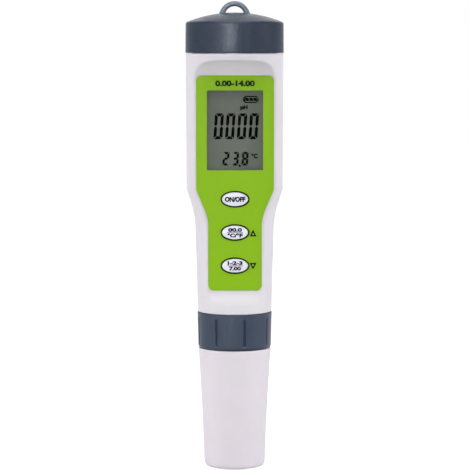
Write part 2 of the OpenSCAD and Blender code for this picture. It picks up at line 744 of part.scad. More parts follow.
module battery_cap() color("#454e5a") union() {
    dome_in_r = neck_bore_r - edge;
    dome = [for (i = [dome_steps - 1:-1:0]) let (r = lid_top_r * i / dome_steps) [r, dome_z(r), 0]];
    hollow = [for (i = [0:dome_steps]) let (r = dome_in_r * i / dome_steps) [r, dome_z(r) - dome_t, 0]];
    revolve(concat(
        [[lid_bore_r, z_lid, edge], [lid_low_r, z_lid, edge], [lid_top_r, z_crest - dome_rise, rim_round]],
        dome, hollow, [[dome_in_r, z_ceiling, 0], [lid_bore_r, z_ceiling, 0]]));
    intersection() {
        translate([0, 0, z_crest - loop_sink]) rotate([90, 0, 0])
            rotate_extrude() translate([loop_r - loop_bar / 2, 0])
                polygon(rounded(rectangle(loop_bar, -loop_depth / 2, loop_depth / 2, loop_round)));
        translate([-reach / 2, -reach / 2, z_crest - (dome_t + loop_sink) / 2]) cube(reach);
    }
}

// A key: an oval face through panel and wall, and a wider rim behind the wall
module key(z) color("#d8d8e8") {
    slab(y_panel - key_proud, y_panel - key_proud + edge / 2) oval_at(z, key_w - edge, key_h - edge);
    slab(y_panel - key_proud + edge / 2, y_glass) oval_at(z, key_w, key_h);
    slab(y_glass, y_key_back) oval_at(z, key_w + 2 * key_rim, key_h + 2 * key_rim);
}
module plunger(z) color("#8f2f2f") translate([0, y_key_back, z]) rotate([-90, 0, 0])
    cylinder(r = plunger_r, h = y_switch + plunger_in - y_key_back);

module key_power() key(key_zs[0]);
module key_hold() key(key_zs[1]);
module key_mode() key(key_zs[2]);
module plunger_power() plunger(key_zs[0]);
module plunger_hold() plunger(key_zs[1]);
module plunger_mode() plunger(key_zs[2]);

module probe_body() color("#d4d3d6") difference() {
    union() {
        revolve([
            [0, z_face, 0], [boss_r, z_face, edge], [boss_r, z_guard_top, 0], [stem_r, z_guard_top, 0],
            [stem_r, z_land - stem_cone_h, stem_round], [land_r, z_land, stem_round],
            [land_r, z_stem_seal - seal_groove_w / 2, 0],
            [land_r - seal_groove_d, z_stem_seal - seal_groove_w / 2, 0],
            [land_r - seal_groove_d, z_stem_seal + seal_groove_w / 2, 0],
            [land_r, z_stem_seal + seal_groove_w / 2, 0],
            [land_r, z_clip - run_gap, 0], [clip_root_r, z_clip - run_gap, 0],
            [clip_root_r, z_clip + clip_t + run_gap, 0], [land_r, z_clip + clip_t + run_gap, 0],
            [land_r, z_flange, 0], [flange_r, z_flange, edge], [flange_r, z_plug, edge],
            [plug_r, z_plug, 0],
            [plug_r, z_plug_seal - seal_groove_w / 2, 0],
            [plug_r - seal_groove_d, z_plug_seal - seal_groove_w / 2, 0],
            [plug_r - seal_groove_d, z_plug_seal + seal_groove_w / 2, 0],
            [plug_r, z_plug_seal + seal_groove_w / 2, 0],
            [plug_r, z_plug_top, edge], [0, z_plug_top, 0]
        ]);
        translate([-rib_w / 2, plug_r - rib_d, z_plug_seal + seal_groove_w / 2])
            cube([rib_w, 2 * rib_d, z_plug_top - z_plug_seal - seal_groove_w / 2 - edge]);
    }
    translate([-bulb_x, 0, z_face - through])
        cylinder(r = bulb_stem_r + press_gap, h = bulb_held + through);
    for (spot = electrode_spots) translate([spot[0], spot[1], z_face - through])
        cylinder(r = spot[2] + run_gap, h = pin_held + through);
    for (spot = contact_spots) translate([spot[0], y_socket + spot[1], z_plug_top - contact_held])
        cylinder(r = contact_pin_r + run_gap, h = contact_held + through);
}

module probe_guard() color("#3f4955") difference() {
    revolve([
        [stem_r - guard_wall, z_tip, edge], [stem_r, z_tip, 2 * edge],
        [stem_r, z_guard_top, 0], [stem_r - guard_wall, z_guard_top, 0]
    ]);
    for (i = [0:guard_windows - 1]) rotate([0, 0, 360 * (i + 0.5) / guard_windows])
        slab(-stem_r - through, -stem_r / 2) polygon(rounded(rectangle(guard_window_w, z_tip + guard_ring_h,
            z_face - guard_ring_h / 4, guard_window_round)));
    for (i = [0:guard_windows - 1]) rotate([0, 0, 360 * i / guard_windows])
        translate([0, -stem_r / 2, z_tip]) rotate([90, 0, 0]) cylinder(r = guard_ring_h / 2, h = stem_r);
}

module probe_seal() color("#2e3238")
    seal_ring(z_plug_seal, plug_r - seal_groove_d + run_gap, spigot_bore_r - run_gap);
module stem_seal() color("#2e3238")
    seal_ring(z_stem_seal, land_r - seal_groove_d + run_gap, bore_r - run_gap);

// An open ring that keeps the collar on the probe
module collar_clip() color("#b5b8bd") translate([0, 0, z_clip]) rotate([0, 0, 90 + clip_gap_angle / 2])
    rotate_extrude(angle = 360 - clip_gap_angle)
        translate([clip_root_r + run_gap, 0]) square([clip_r - clip_root_r - run_gap, clip_t]);

module glass_bulb() color("#cfe3ea") translate([-bulb_x, 0, 0]) difference() {
    union() {
        translate([0, 0, z_bulb]) sphere(r = bulb_r);
        translate([0, 0, z_bulb]) cylinder(r = bulb_stem_r, h = z_face + bulb_held - z_bulb);
    }
    translate([0, 0, z_bulb]) sphere(r = bulb_r - bulb_wall);
    translate([0, 0, z_bulb])
        cylinder(r = bulb_stem_r - bulb_wall, h = z_face + bulb_held - z_bulb - through);
}
module inner_electrode() color("#8d8f92")
    peg(-bulb_x, 0, z_bulb - bulb_r / 2, z_face + bulb_held - through, wire_r, wire_r / 2);

// [x, y, radius] of the two conductivity pins, the temperature sensor and the reference junction
electrode_spots = [
    [pin_x, -pin_spread / 2, pin_r], [pin_x, pin_spread / 2, pin_r],
    [sensor_x, sensor_y, sensor_r], [sensor_x, -sensor_y, sensor_r]
];
module electrode(spot, out, round) peg(spot[0], spot[1], z_face - out, z_face + pin_held, spot[2], round);
module conductivity_pins() color("#a8abb0") {
    electrode(electrode_spots[0], pin_out, pin_r / 2);
    electrode(electrode_spots[1], pin_out, pin_r / 2);
}
module temperature_sensor() color("#b9bcc0") electrode(electrode_spots[2], pin_out, sensor_r / 2);
module reference_junction() color("#efeae0") electrode(electrode_spots[3], junction_out, edge);

module collar() color("#44515f") difference() {
    revolve([
        [clip_pocket_r, z_collar, 0], [collar_low_r, z_collar, 3 * edge],
        [collar_top_r, z_collar + collar_h, 2 * edge],
        [collar_bore_r, z_collar + collar_h, edge], [collar_bore_r, z_lip + lip_h, 0],
        [bore_r, z_lip + lip_h, 0], [bore_r, z_lip, 0], [clip_pocket_r, z_lip, 0]
    ]);
    grip_len = collar_h - grip_top_band - grip_low_band;
    z_grip = z_collar + grip_low_band + grip_len / 2;
    taper = (collar_top_r - collar_low_r) / collar_h;
    grip_r = collar_low_r + taper * (z_grip - z_collar);
    for (i = [0:grip_count - 1]) rotate([0, 0, grip_phase + 360 * i / grip_count])
        translate([0, -grip_r, z_grip]) rotate([atan(taper), 0, 0]) rotate([0, 0, 45])
            cube([grip_d * sqrt(2), grip_d * sqrt(2), grip_len], center = true);
}

module protective_cap() color("#ddd8de") revolve(concat(
    [[0, 0, 0], [cap_base_r, 0, cap_foot_round]],
    [for (i = [1:dome_steps - 1]) let (t = i / dome_steps)
        [cap_base_r + (cap_mouth_r - cap_base_r) * t - 4 * cap_bow * t * (1 - t), cap_h * t, 0]],
    [[cap_mouth_r, cap_h, edge], [bore_r, cap_h, 2 * edge], [bore_r, z_bore, 0],
     [cavity_r, cap_floor, 1], [0, cap_floor, 0]]
));

module storage_sponge() color("#e6dfa8") revolve([
    [0, cap_floor, 0], [cavity_r - fit_gap, cap_floor, 1], [cavity_r - fit_gap, cap_floor + sponge_h, edge],
    [0, cap_floor + sponge_h, 0]
]);

housing();
front_panel();
key_bezels();
display_window();
lcd_holder();
lcd_glass();
lcd_reflector();
zebra_strips();
main_board();
controller_chip();
board_components();
tactile_switches();
chassis();
board_screws();
battery_neck();
battery_tray();
button_cells();
cell_contacts();
probe_socket();
cap_seal();
battery_cap();
key_power();
key_hold();
key_mode();
plunger_power();
plunger_hold();
plunger_mode();
probe_body();
probe_guard();
probe_pins();
probe_seal();
stem_seal();
collar_clip();
glass_bulb();
inner_electrode();
reference_junction();
conductivity_pins();
temperature_sensor();
collar();
protective_cap();
storage_sponge();
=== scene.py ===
"""A pocket pen that tests water, dressed with its moulded forms, finishes, studio and camera.

The frame holds every piece at its real size. Shapes here are worked out in millimetres, in the frame's
own axes, and written to their meshes in metres. +Z runs up the pen and the display faces -Y.
"""

import logging
import math
from collections.abc import Iterable, Sequence
from dataclasses import dataclass
from enum import Enum

import bmesh
import bpy
import numpy as np
from mathutils import Matrix, Vector

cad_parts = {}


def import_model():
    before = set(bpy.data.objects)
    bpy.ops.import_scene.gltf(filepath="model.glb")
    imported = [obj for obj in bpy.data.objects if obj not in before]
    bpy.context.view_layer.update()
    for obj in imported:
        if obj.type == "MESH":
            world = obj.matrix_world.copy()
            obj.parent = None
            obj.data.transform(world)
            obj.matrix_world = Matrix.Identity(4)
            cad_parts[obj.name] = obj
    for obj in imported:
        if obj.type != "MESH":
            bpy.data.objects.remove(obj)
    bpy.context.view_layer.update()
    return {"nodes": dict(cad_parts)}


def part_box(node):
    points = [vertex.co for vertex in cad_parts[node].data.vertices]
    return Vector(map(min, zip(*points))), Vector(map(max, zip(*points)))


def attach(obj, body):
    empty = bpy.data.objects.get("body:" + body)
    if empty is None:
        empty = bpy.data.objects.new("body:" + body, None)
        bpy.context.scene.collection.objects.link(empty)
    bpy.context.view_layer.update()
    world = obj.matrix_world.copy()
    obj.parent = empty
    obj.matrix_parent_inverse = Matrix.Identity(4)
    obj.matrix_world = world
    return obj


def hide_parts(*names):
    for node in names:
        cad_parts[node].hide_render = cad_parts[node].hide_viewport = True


log = logging.getLogger("pen")

MM = 0.001
Point = tuple[float, float]
Corner = tuple[float, float, float]
BMesh = bmesh.types.BMesh
Piece = bpy.types.Object
Socket = bpy.types.NodeSocket
Tree = bpy.types.NodeTree
WHITE = (1.0, 1.0, 1.0, 1.0)


# Helpers for shapes


@dataclass(frozen=True)
class Span:
    """The box of a node of the frame, in millimetres."""

    low: Vector
    high: Vector

    @classmethod
    def of(cls, node: str) -> "Span":
        """Reads the box of one node."""
        low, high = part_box(node)
        return cls(low / MM, high / MM)

    @property
    def middle(self) -> Vector:
        """The middle of the box."""
        return (self.low + self.high) / 2

    def outline(self, grow: float = 0.0, radius: float = 0.0) -> list[Point]:
        """The box seen from the front, grown on all sides, with rounded corners."""
        low, high = self.low, self.high
        return rectangle((low.x - grow, low.z - grow), (high.x + grow, high.z + grow), radius)


def rounded(corners: Sequence[Corner], closed: bool = True, step: float = 10.0) -> list[Point]:
    """Rounds the corners of an outline with arcs.

    Args:
        corners: points with the radius of the rounding at each.
        closed: whether the last point joins the first.
        step: the angle between points of an arc, in degrees.

    Returns:
        The points of the rounded outline.
    """
    points: list[Point] = []
    last = len(corners) - 1
    for i, (x, y, radius) in enumerate(corners):
        at = Vector((x, y))
        if radius <= 0 or (not closed and i in (0, last)):
            points.append((x, y))
            continue
        before = (Vector(corners[i - 1][:2]) - at).normalized()
        after = (Vector(corners[(i + 1) % len(corners)][:2]) - at).normalized()
        half = before.angle(after) / 2
        centre = at + (before + after).normalized() * radius / math.sin(half)
        first = at + before * radius / math.tan(half) - centre
        turn = (at + after * radius / math.tan(half) - centre).angle_signed(first)
        steps = max(2, math.ceil(abs(math.degrees(turn)) / step))
        for k in range(steps + 1):
            arm = first.copy()
            arm.rotate(Matrix.Rotation(turn * k / steps, 2))
            points.append(tuple(centre + arm))
    return points


def rectangle(low: Point, high: Point, radius: float = 0.0, step: float = 10.0) -> list[Point]:
    """The outline of a rectangle between two opposite corners, with all four rounded."""
    (x0, z0), (x1, z1) = low, high
    return rounded([(x0, z0, radius), (x1, z0, radius), (x1, z1, radius), (x0, z1, radius)], step=step)


def chamfered(low: Point, high: Point, corner: float) -> list[Point]:
    """The outline of a rectangle between two opposite corners, with all four cut off."""
    (x0, z0), (x1, z1) = low, high
    return [(x0 + corner, z0), (x1 - corner, z0), (x1, z0 + corner), (x1, z1 - corner),
            (x1 - corner, z1), (x0 + corner, z1), (x0, z1 - corner), (x0, z0 + corner)]


def oval(width: float, height: float, count: int = 96) -> list[Point]:
    """The points of an oval around the origin."""
    angles = [math.tau * i / count for i in range(count)]
    return [(width / 2 * math.cos(a), height / 2 * math.sin(a)) for a in angles]


def clean(bm: BMesh, gap: float = 1e-4) -> BMesh:
    """Merges doubles, drops faces of no size and turns the faces outwards."""
    bmesh.ops.remove_doubles(bm, verts=bm.verts, dist=gap)
    bmesh.ops.dissolve_degenerate(bm, dist=gap, edges=bm.edges)
    bmesh.ops.recalc_face_normals(bm, faces=bm.faces)
    return bm


def spun(profile: Sequence[Point], steps: int = 192) -> BMesh:
    """Spins a profile of (radius, height) points round the pen's axis.

    A profile that starts and ends on the axis stays open there, because its poles close it.

    Args:
        profile: the points of the section.
        steps: the number of faces round the axis.

    Returns:
        The closed body.
    """
    bm = bmesh.new()
    verts = [bm.verts.new((r, 0, z)) for r, z in profile]
    edges = [bm.edges.new(pair) for pair in zip(verts, verts[1:])]
    if profile[0][0] > 0 or profile[-1][0] > 0:
        edges.append(bm.edges.new((verts[-1], verts[0])))
    bmesh.ops.spin(bm, geom=verts + edges, axis=(0, 0, 1), angle=math.tau, steps=steps, use_merge=True)
    return clean(bm)


def drawn_out(bm: BMesh, faces: Sequence[bmesh.types.BMFace], vec: Corner) -> BMesh:
    """Extrudes some faces of a body along a vector."""
    grown = bmesh.ops.extrude_face_region(bm, geom=faces)["geom"]
    bmesh.ops.translate(bm, vec=vec, verts=[v for v in grown if isinstance(v, bmesh.types.BMVert)])
    return bm


def slab(outline: Sequence[Point], front: float, back: float) -> BMesh:
    """Extrudes an outline of (x, z) points from the plane y = front to the plane y = back."""
    bm = bmesh.new()
    face = bm.faces.new([bm.verts.new((x, front, z)) for x, z in outline])
    return clean(drawn_out(bm, [face], (0, back - front, 0)))


def band(outer: Sequence[Point], inner: Sequence[Point], front: float, back: float) -> BMesh:
    """Extrudes the band between two outlines of (x, z) points, as a slab with a hole."""
    bm = bmesh.new()
    edges = []
    for outline in (outer, inner):
        verts = [bm.verts.new((x, front, z)) for x, z in outline]
        edges += [bm.edges.new(pair) for pair in zip(verts, verts[1:] + verts[:1])]
    faces = bmesh.ops.bridge_loops(bm, edges=edges)["faces"]
    return clean(drawn_out(bm, faces, (0, back - front, 0)))


def bevelled(bm: BMesh, width: float) -> BMesh:
    """Rounds every edge that turns by more than 40 degrees."""
    edges = [e for e in bm.edges if e.is_manifold and math.degrees(e.calc_face_angle()) > 40]
    bmesh.ops.bevel(bm, geom=edges, offset=width, segments=2, profile=0.5, affect="EDGES", material=-1,
                    clamp_overlap=True)
    return bm


def thread(radius: float, low: float, high: float) -> BMesh:
    """Winds the ridge of a screw thread round the axis.

    Args:
        radius: the radius that the ridge stands on.
        low: the height at which it starts.
        high: the height that it doesn't pass.

    Returns:
        The ridge, closed at both ends.
    """
    pitch, per_turn = 2.5, 96
    ridge, foot, crest, sunk = 0.24, 0.55, 0.2, 0.15
    steps = int((high - low - 2 * foot) / pitch * per_turn)
    bm = bmesh.new()
    section = [(-sunk, -foot), (ridge, -crest), (ridge, crest), (-sunk, foot)]
    face = bm.faces.new([bm.verts.new((radius + r, 0, low + foot + z)) for r, z in section])
    bmesh.ops.spin(bm, geom=[face], axis=(0, 0, 1), angle=math.tau * steps / per_turn, steps=steps,
                   dvec=(0, 0, pitch / per_turn))
    return clean(bm)


def linked(name: str, data: bpy.types.ID) -> Piece:
    """Makes an object of some data and puts it in the scene."""
    made = bpy.data.objects.new(name, data)
    bpy.context.scene.collection.objects.link(made)
    return made


def lettering(text: str, width: float, height: float, weight: float, thickness: float = 0.04) -> BMesh:
    """Writes plain characters that face -Y, centred on the origin.

    Args:
        text: what is written.
        width: the width of the whole text.
        height: the height of the characters.
        weight: how far the strokes are thickened, as a share of the letter size.
        thickness: how far the print stands out.

    Returns:
        The characters as one body.
    """
    curve = bpy.data.curves.new("text", "FONT")
    curve.body = text
    curve.offset = weight
    curve.resolution_u = 4
    carrier = linked("text", curve)
    bpy.context.view_layer.update()
    flat = bpy.data.meshes.new_from_object(carrier.evaluated_get(bpy.context.evaluated_depsgraph_get()))
    bm = bmesh.new()
    bm.from_mesh(flat)
    bpy.data.objects.remove(carrier)
    bpy.data.curves.remove(curve)
    bpy.data.meshes.remove(flat)
    bmesh.ops.remove_doubles(bm, verts=bm.verts, dist=1e-5)
    spans = [[v.co[axis] for v in bm.verts] for axis in (0, 1)]
    low = Vector((min(spans[0]), min(spans[1]), 0))
    size = Vector((max(spans[0]), max(spans[1]), 0)) - low
    bmesh.ops.translate(bm, vec=-low - size / 2, verts=bm.verts)
    bmesh.ops.scale(bm, vec=(width / size.x, height / size.y, 1), verts=bm.verts)
    drawn_out(bm, bm.faces[:], (0, 0, thickness))
    bmesh.ops.rotate(bm, matrix=Matrix.Rotation(math.pi / 2, 3, "X"), verts=bm.verts)
    return clean(bm, 1e-5)


def merged(parts: Iterable[BMesh]) -> BMesh:
    """Puts several bodies into one and frees them."""
    whole = bmesh.new()
    for part in parts:
        mesh = bpy.data.meshes.new("part")
        part.to_mesh(mesh)
        part.free()
        whole.from_mesh(mesh)
        bpy.data.meshes.remove(mesh)
    return whole


def moved(bm: BMesh, x: float = 0, y: float = 0, z: float = 0) -> BMesh:
    """Moves a body."""
    bmesh.ops.translate(bm, vec=(x, y, z), verts=bm.verts)
    return bm


def to_object(name: str, bm: BMesh, smooth: float = 30.0) -> Piece:
    """Makes an object from a body drawn in millimetres.

    Args:
        name: the piece's name.
        bm: the body, which is freed.
        smooth: edges that turn by more than this angle stay sharp, in degrees.

    Returns:
        The object, at the origin, with its mesh in metres.
    """
    bmesh.ops.scale(bm, vec=(MM, MM, MM), verts=bm.verts)
    mesh = bpy.data.meshes.new(name)
    bm.to_mesh(mesh)
    bm.free()
    mesh.shade_smooth()
    mesh.set_sharp_from_angle(angle=math.radians(smooth))
    return linked(name, mesh)


def flattened(piece: Piece) -> Piece:
    """Lets a piece's large faces set the normals of its bevels, so that they look flat."""
    step = piece.modifiers.new("flat_faces", "WEIGHTED_NORMAL")
    step.keep_sharp = True
    step.weight = 100
    return piece


def cut(piece: Piece, bodies: Iterable[BMesh], smooth: float = 30.0) -> None:
    """Cuts closed bodies out of a piece, which gets a new mesh.

    Args:
        piece: the piece that is cut.
        bodies: the bodies that are taken away, which are freed.
        smooth: edges that turn by more than this angle stay sharp, in degrees.
    """
    cutters = [to_object("cutter", body) for body in bodies]
    for cutter in cutters:
        step = piece.modifiers.new("cut", "BOOLEAN")
        step.operation = "DIFFERENCE"
        step.solver = "MANIFOLD"
        step.object = cutter
    bpy.context.view_layer.update()
    shaped = bpy.data.meshes.new_from_object(piece.evaluated_get(bpy.context.evaluated_depsgraph_get()))
    piece.modifiers.clear()
    plain, piece.data = piece.data, shaped
    bpy.data.meshes.remove(plain)
    shaped.name = piece.name
    shaped.shade_smooth()
    shaped.set_sharp_from_angle(angle=math.radians(smooth))
    for cutter in cutters:
        bpy.data.meshes.remove(cutter.data)


# Helpers for finishes


def linear(colour: str, tone: float = 1.0) -> tuple[float, float, float, float]:
    """Turns an sRGB hex colour into the linear values that a shader takes, darker or lighter by a factor."""
    parts = [int(colour[i:i + 2], 16) / 255 for i in (1, 3, 5)]
    plain = [p / 12.92 if p <= 0.04045 else ((p + 0.055) / 1.055) ** 2.4 for p in parts]
    return (*(min(1.0, p * tone) for p in plain), 1.0)


def add_node(tree: Tree, kind: str, inputs: dict[str | int, object] | None = None,
             **settings: object) -> bpy.types.Node:
    """Adds one shader node.

    Args:
        tree: the node tree.
        kind: the node's type, without the words ShaderNode.
        inputs: values, or output sockets to link, by input name or number.
        settings: properties of the node.

    Returns:
        The new node.
    """
    node = tree.nodes.new(f"ShaderNode{kind}")
    for name, value in settings.items():
        setattr(node, name, value)
    for key, value in (inputs or {}).items():
        if isinstance(value, Socket):
            tree.links.new(value, node.inputs[key])
        else:
            node.inputs[key].default_value = value
    return node


def blank(owner: bpy.types.Material | bpy.types.World) -> Tree:
    """Empties the node tree of a material or a world."""
    owner.use_nodes = True
    owner.node_tree.nodes.clear()
    return owner.node_tree


@dataclass(frozen=True)
class Finish:
    """A material's name, and what all of them share."""

    name: str
    colour: str
    roughness: float

    def material(self) -> bpy.types.Material:
        """The material, made on its first use."""
        made = bpy.data.materials.get(self.name)
        if made is None:
            made = bpy.data.materials.new(self.name)
            tree = blank(made)
            place = add_node(tree, "TexCoord").outputs["Object"]
            shader = add_node(tree, "BsdfPrincipled", self.inputs(tree, place))
            add_node(tree, "OutputMaterial", {"Surface": shader.outputs[0]})
        return made

    def inputs(self, tree: Tree, place: Socket) -> dict[str, object]:
        """Adds the patterns of the finish, laid out by the place on the piece.

        Args:
            tree: the material's node tree.
            place: the object coordinates.

        Returns:
            What goes into the principled shader, by input name.
        """
        raise NotImplementedError

    def dress(self, piece: Piece) -> None:
        """Puts the material on every slot of a piece."""
        if not piece.data.materials:
            piece.data.materials.append(None)
        for place in piece.material_slots:
            place.material = self.material()


@dataclass(frozen=True)
class Moulded(Finish):
    """Injection moulded plastic: nearly even colour, a soft sheen and the fine grain of an eroded tool."""

    grain: float = 0.18
    grain_depth: float = 0.006
    clouding: float = 0.03
    waviness: float = 0.01
    sparkle: float = 0.05
    specular: float = 0.5
    glow: float = 0.0
    coat: float = 0.0

    def inputs(self, tree: Tree, place: Socket) -> dict[str, object]:
        """Clouds the colour and the gloss a little, and bumps the grain and faint sink marks."""
        # Colour clouds of about 9 mm, as in a pigmented melt
        cloud = add_node(tree, "TexNoise", {"Vector": place, "Scale": 1 / (9 * MM), "Detail": 3.0})
        colour = add_node(tree, "Mix", {
            "Factor": cloud.outputs["Fac"], "A": linear(self.colour, 1 - self.clouding),
            "B": linear(self.colour, 1 + self.clouding)}, data_type="RGBA")
        # Grain of the tool's surface, drawn coarser than the real 0.05 mm so that it shows
        grain = add_node(tree, "TexNoise",
                         {"Vector": place, "Scale": 1 / (self.grain * MM), "Detail": 2.0, "Roughness": 0.6})
        wave = add_node(tree, "TexNoise", {"Vector": place, "Scale": 1 / (14 * MM), "Detail": 1.0})
        gloss = add_node(tree, "MapRange", {
            "Value": grain.outputs["Fac"], "From Min": 0.3, "From Max": 0.7,
            "To Min": self.roughness - self.sparkle, "To Max": self.roughness + self.sparkle})
        sunk = add_node(tree, "Bump", {
            "Height": wave.outputs["Fac"], "Strength": 1.0, "Distance": self.waviness * MM})
        bump = add_node(tree, "Bump", {
            "Height": grain.outputs["Fac"], "Strength": 1.0, "Distance": self.grain_depth * MM,
            "Normal": sunk.outputs["Normal"]})
        return {
            "Base Color": colour.outputs[2], "Roughness": gloss.outputs["Result"],
            "Normal": bump.outputs["Normal"], "Specular IOR Level": self.specular,
            "Subsurface Weight": self.glow, "Subsurface Scale": 1.5 * MM,
            "Subsurface Radius": (1.0, 0.9, 0.85), "Coat Weight": self.coat, "Coat Roughness": 0.12}


@dataclass(frozen=True)
class Printed(Finish):
    """Ink on the back of a satin polycarbonate film: dense colour under an even, fine-grained sheen."""

    streak: float = 0.025
    sheen: float = 0.04
    specular: float = 0.4

    def inputs(self, tree: Tree, place: Socket) -> dict[str, object]:
        """Varies the ink's density a little and bumps the film's velvet grain."""
        density = add_node(tree, "TexNoise", {"Vector": place, "Scale": 1 / (6 * MM), "Detail": 4.0})
        ink = add_node(tree, "Mix", {
            "Factor": density.outputs["Fac"], "A": linear(self.colour, 1 - self.streak),
            "B": linear(self.colour, 1 + self.streak)}, data_type="RGBA")
        velvet = add_node(tree, "TexVoronoi", {"Vector": place, "Scale": 1 / (0.14 * MM)})
        bump = add_node(tree, "Bump", {
            "Height": velvet.outputs["Distance"], "Strength": 0.6, "Distance": 0.004 * MM})
        gloss = add_node(tree, "MapRange", {
            "Value": density.outputs["Fac"], "To Min": self.roughness - self.sheen,
            "To Max": self.roughness + self.sheen})
        return {
            "Base Color": ink.outputs[2], "Roughness": gloss.outputs["Result"],
            "Normal": bump.outputs["Normal"], "Specular IOR Level": self.specular}


@dataclass(frozen=True)
class Clear(Finish):
    """Clear acrylic: almost all of what lies behind shows, under a hard, bright reflection."""

    cover: float = 0.1

    def inputs(self, tree: Tree, place: Socket) -> dict[str, object]:
        """Leaves a thin veil of colour over what lies behind."""
        haze = add_node(tree, "TexNoise", {"Vector": place, "Scale": 1 / (3 * MM), "Detail": 2.0})
        gloss = add_node(tree, "MapRange", {
            "Value": haze.outputs["Fac"], "To Min": self.roughness, "To Max": self.roughness + 0.03})
        return {
            "Base Color": linear(self.colour), "Roughness": gloss.outputs["Result"], "Alpha": self.cover,
            "IOR": 1.49}


@dataclass(frozen=True)
class Blown(Finish):
    """Thin blown glass: clear, with a bright rim where the wall is seen edge on."""

    def inputs(self, tree: Tree, place: Socket) -> dict[str, object]:
        """Thickens the glass towards its rim."""
        rim = add_node(tree, "LayerWeight", {"Blend": 0.35})
        cover = add_node(tree, "MapRange", {
            "Value": rim.outputs["Facing"], "To Min": 0.12, "To Max": 0.75})
        ripple = add_node(tree, "TexNoise", {"Vector": place, "Scale": 1 / (2 * MM)})
        bump = add_node(tree, "Bump", {
            "Height": ripple.outputs["Fac"], "Strength": 0.5, "Distance": 0.02 * MM})
        return {
            "Base Color": linear(self.colour), "Roughness": self.roughness, "IOR": 1.5,
            "Alpha": cover.outputs["Result"], "Normal": bump.outputs["Normal"]}


@dataclass(frozen=True)
class Metal(Finish):
    """Plated or drawn metal: a bright reflection broken by fine scratches."""

    scratch: float = 0.12

    def inputs(self, tree: Tree, place: Socket) -> dict[str, object]:
        """Draws the scratches as stretched noise."""
        along = add_node(tree, "Mapping", {"Vector": place, "Scale": (1.0, 1.0, 0.15)})
        scratches = add_node(tree, "TexNoise", {
            "Vector": along.outputs["Vector"], "Scale": 1 / (self.scratch * MM), "Detail": 3.0})
        gloss = add_node(tree, "MapRange", {
            "Value": scratches.outputs["Fac"], "To Min": self.roughness - 0.08,
            "To Max": self.roughness + 0.1})
        bump = add_node(tree, "Bump", {
            "Height": scratches.outputs["Fac"], "Strength": 0.5, "Distance": 0.003 * MM})
        return {
            "Base Color": linear(self.colour), "Metallic": 1.0, "Roughness": gloss.outputs["Result"],
            "Normal": bump.outputs["Normal"]}


@dataclass(frozen=True)
class Porous(Finish):
    """Matt material full of small pores, such as foam or sintered ceramic."""

    pore: float = 0.5
    # How dark the painted shade in the pores is
    pore_shade_tone: float = 0.72
    depth: float = 0.15

    def inputs(self, tree: Tree, place: Socket) -> dict[str, object]:
        """Sinks the pores, and darkens them with painted shade."""
        cells = add_node(tree, "TexVoronoi", {"Vector": place, "Scale": 1 / (self.pore * MM)})
        # Painted shade: the pores that the bump sinks are darkened
        colour = add_node(tree, "Mix", {
            "Factor": cells.outputs["Distance"], "A": linear(self.colour, self.pore_shade_tone),
            "B": linear(self.colour)}, data_type="RGBA")
        bump = add_node(tree, "Bump", {
            "Height": cells.outputs["Distance"], "Strength": 0.8, "Distance": self.depth * MM})
        return {
            "Base Color": colour.outputs[2], "Roughness": self.roughness, "Normal": bump.outputs["Normal"]}


# White ABS, moulded in a lightly eroded tool: clean, slightly cool, nearly matt
WHITE_ABS = Moulded("white_abs_moulded", "#e6e2e9", 0.45, glow=0.08, specular=0.06)
# White polypropylene: the same white, waxier, and it lets a little light in
WHITE_PP = Moulded("white_polypropylene", "#e9e2ea", 0.48, glow=0.12, grain_depth=0.004, specular=0.06)
# Slate ABS from a coarsely eroded tool: dark satin on which a lamp leaves a broad, grainy band. The grain is
# drawn several times coarser than real, so that it shows
SLATE_ABS = Moulded("slate_abs_moulded", "#2f3949", 0.38, grain=0.6, grain_depth=0.11, clouding=0.06,
                    sparkle=0.18, specular=0.08)
# The lanyard loop: the same slate a little rougher, painted paler as painted light that stands in for the
# light falling on it from above
LOOP_ABS_PAINTED_LIGHT = Moulded("slate_abs_painted_light", "#707c8a", 0.42, grain=0.4, grain_depth=0.04, clouding=0.1,
                   specular=0.15)
# The collar's slate ABS is moulded smoother, and its pigment has a shade more blue
COLLAR_ABS = Moulded("slate_abs_collar", "#313d50", 0.38, grain=0.5, grain_depth=0.02, clouding=0.05,
                     specular=0.22)
# Light grey ABS of the threaded neck, and of the probe
NECK_ABS = Moulded("grey_white_abs", "#dedbe0", 0.4)
PROBE_ABS = Moulded("probe_abs", "#d4d3d6", 0.38)
DARK_ABS = Moulded("black_abs", "#2b2c30", 0.45)
# Silicone rubber of the keys: the whitest piece, smooth, and light enters it a little
KEY_SILICONE = Moulded("key_silicone", "#eef0fa", 0.5, grain_depth=0.003, clouding=0.02, glow=0.1,
                       specular=0.3)
RING_PLASTIC = Moulded("ring_dark_green", "#0a1a06", 0.5, specular=0.03)
SEAL_RUBBER = Moulded("seal_rubber", "#2e3238", 0.62, clouding=0.08)
LID_SEAL_RUBBER = Moulded("lid_seal_rubber", "#4a4e54", 0.62, clouding=0.08)
FRAME_PLASTIC = Moulded("frame_plastic", "#d9d9d2", 0.5)
PLUNGER_PLASTIC = Moulded("plunger_plastic", "#8f2f2f", 0.45)
SOCKET_PLASTIC = Moulded("socket_plastic", "#e8e4d8", 0.45)
ZEBRA_SILICONE = Moulded("contact_silicone", "#d8a6a0", 0.6)
BOARD_LACQUER = Moulded("board_lacquer", "#1f6b3a", 0.35, clouding=0.08, coat=0.3)
CHIP_RESIN = Moulded("chip_resin", "#24262a", 0.55)
# Inks: the green lies under a satin film, and the others are screen printed on top and stay matt
GREEN_FILM = Printed("green_printed_film", "#8fc21c", 0.55, specular=0.04)
DARK_INK = Printed("dark_green_ink", "#0a1a03", 0.5, specular=0.01)
PALE_INK = Printed("pale_ink", "#b9d67c", 0.5, specular=0.04)
KEY_INK = Printed("key_ink", "#141434", 0.5, specular=0.04)
RULE_INK = Printed("rule_ink", "#6c6a84", 0.5, specular=0.04)
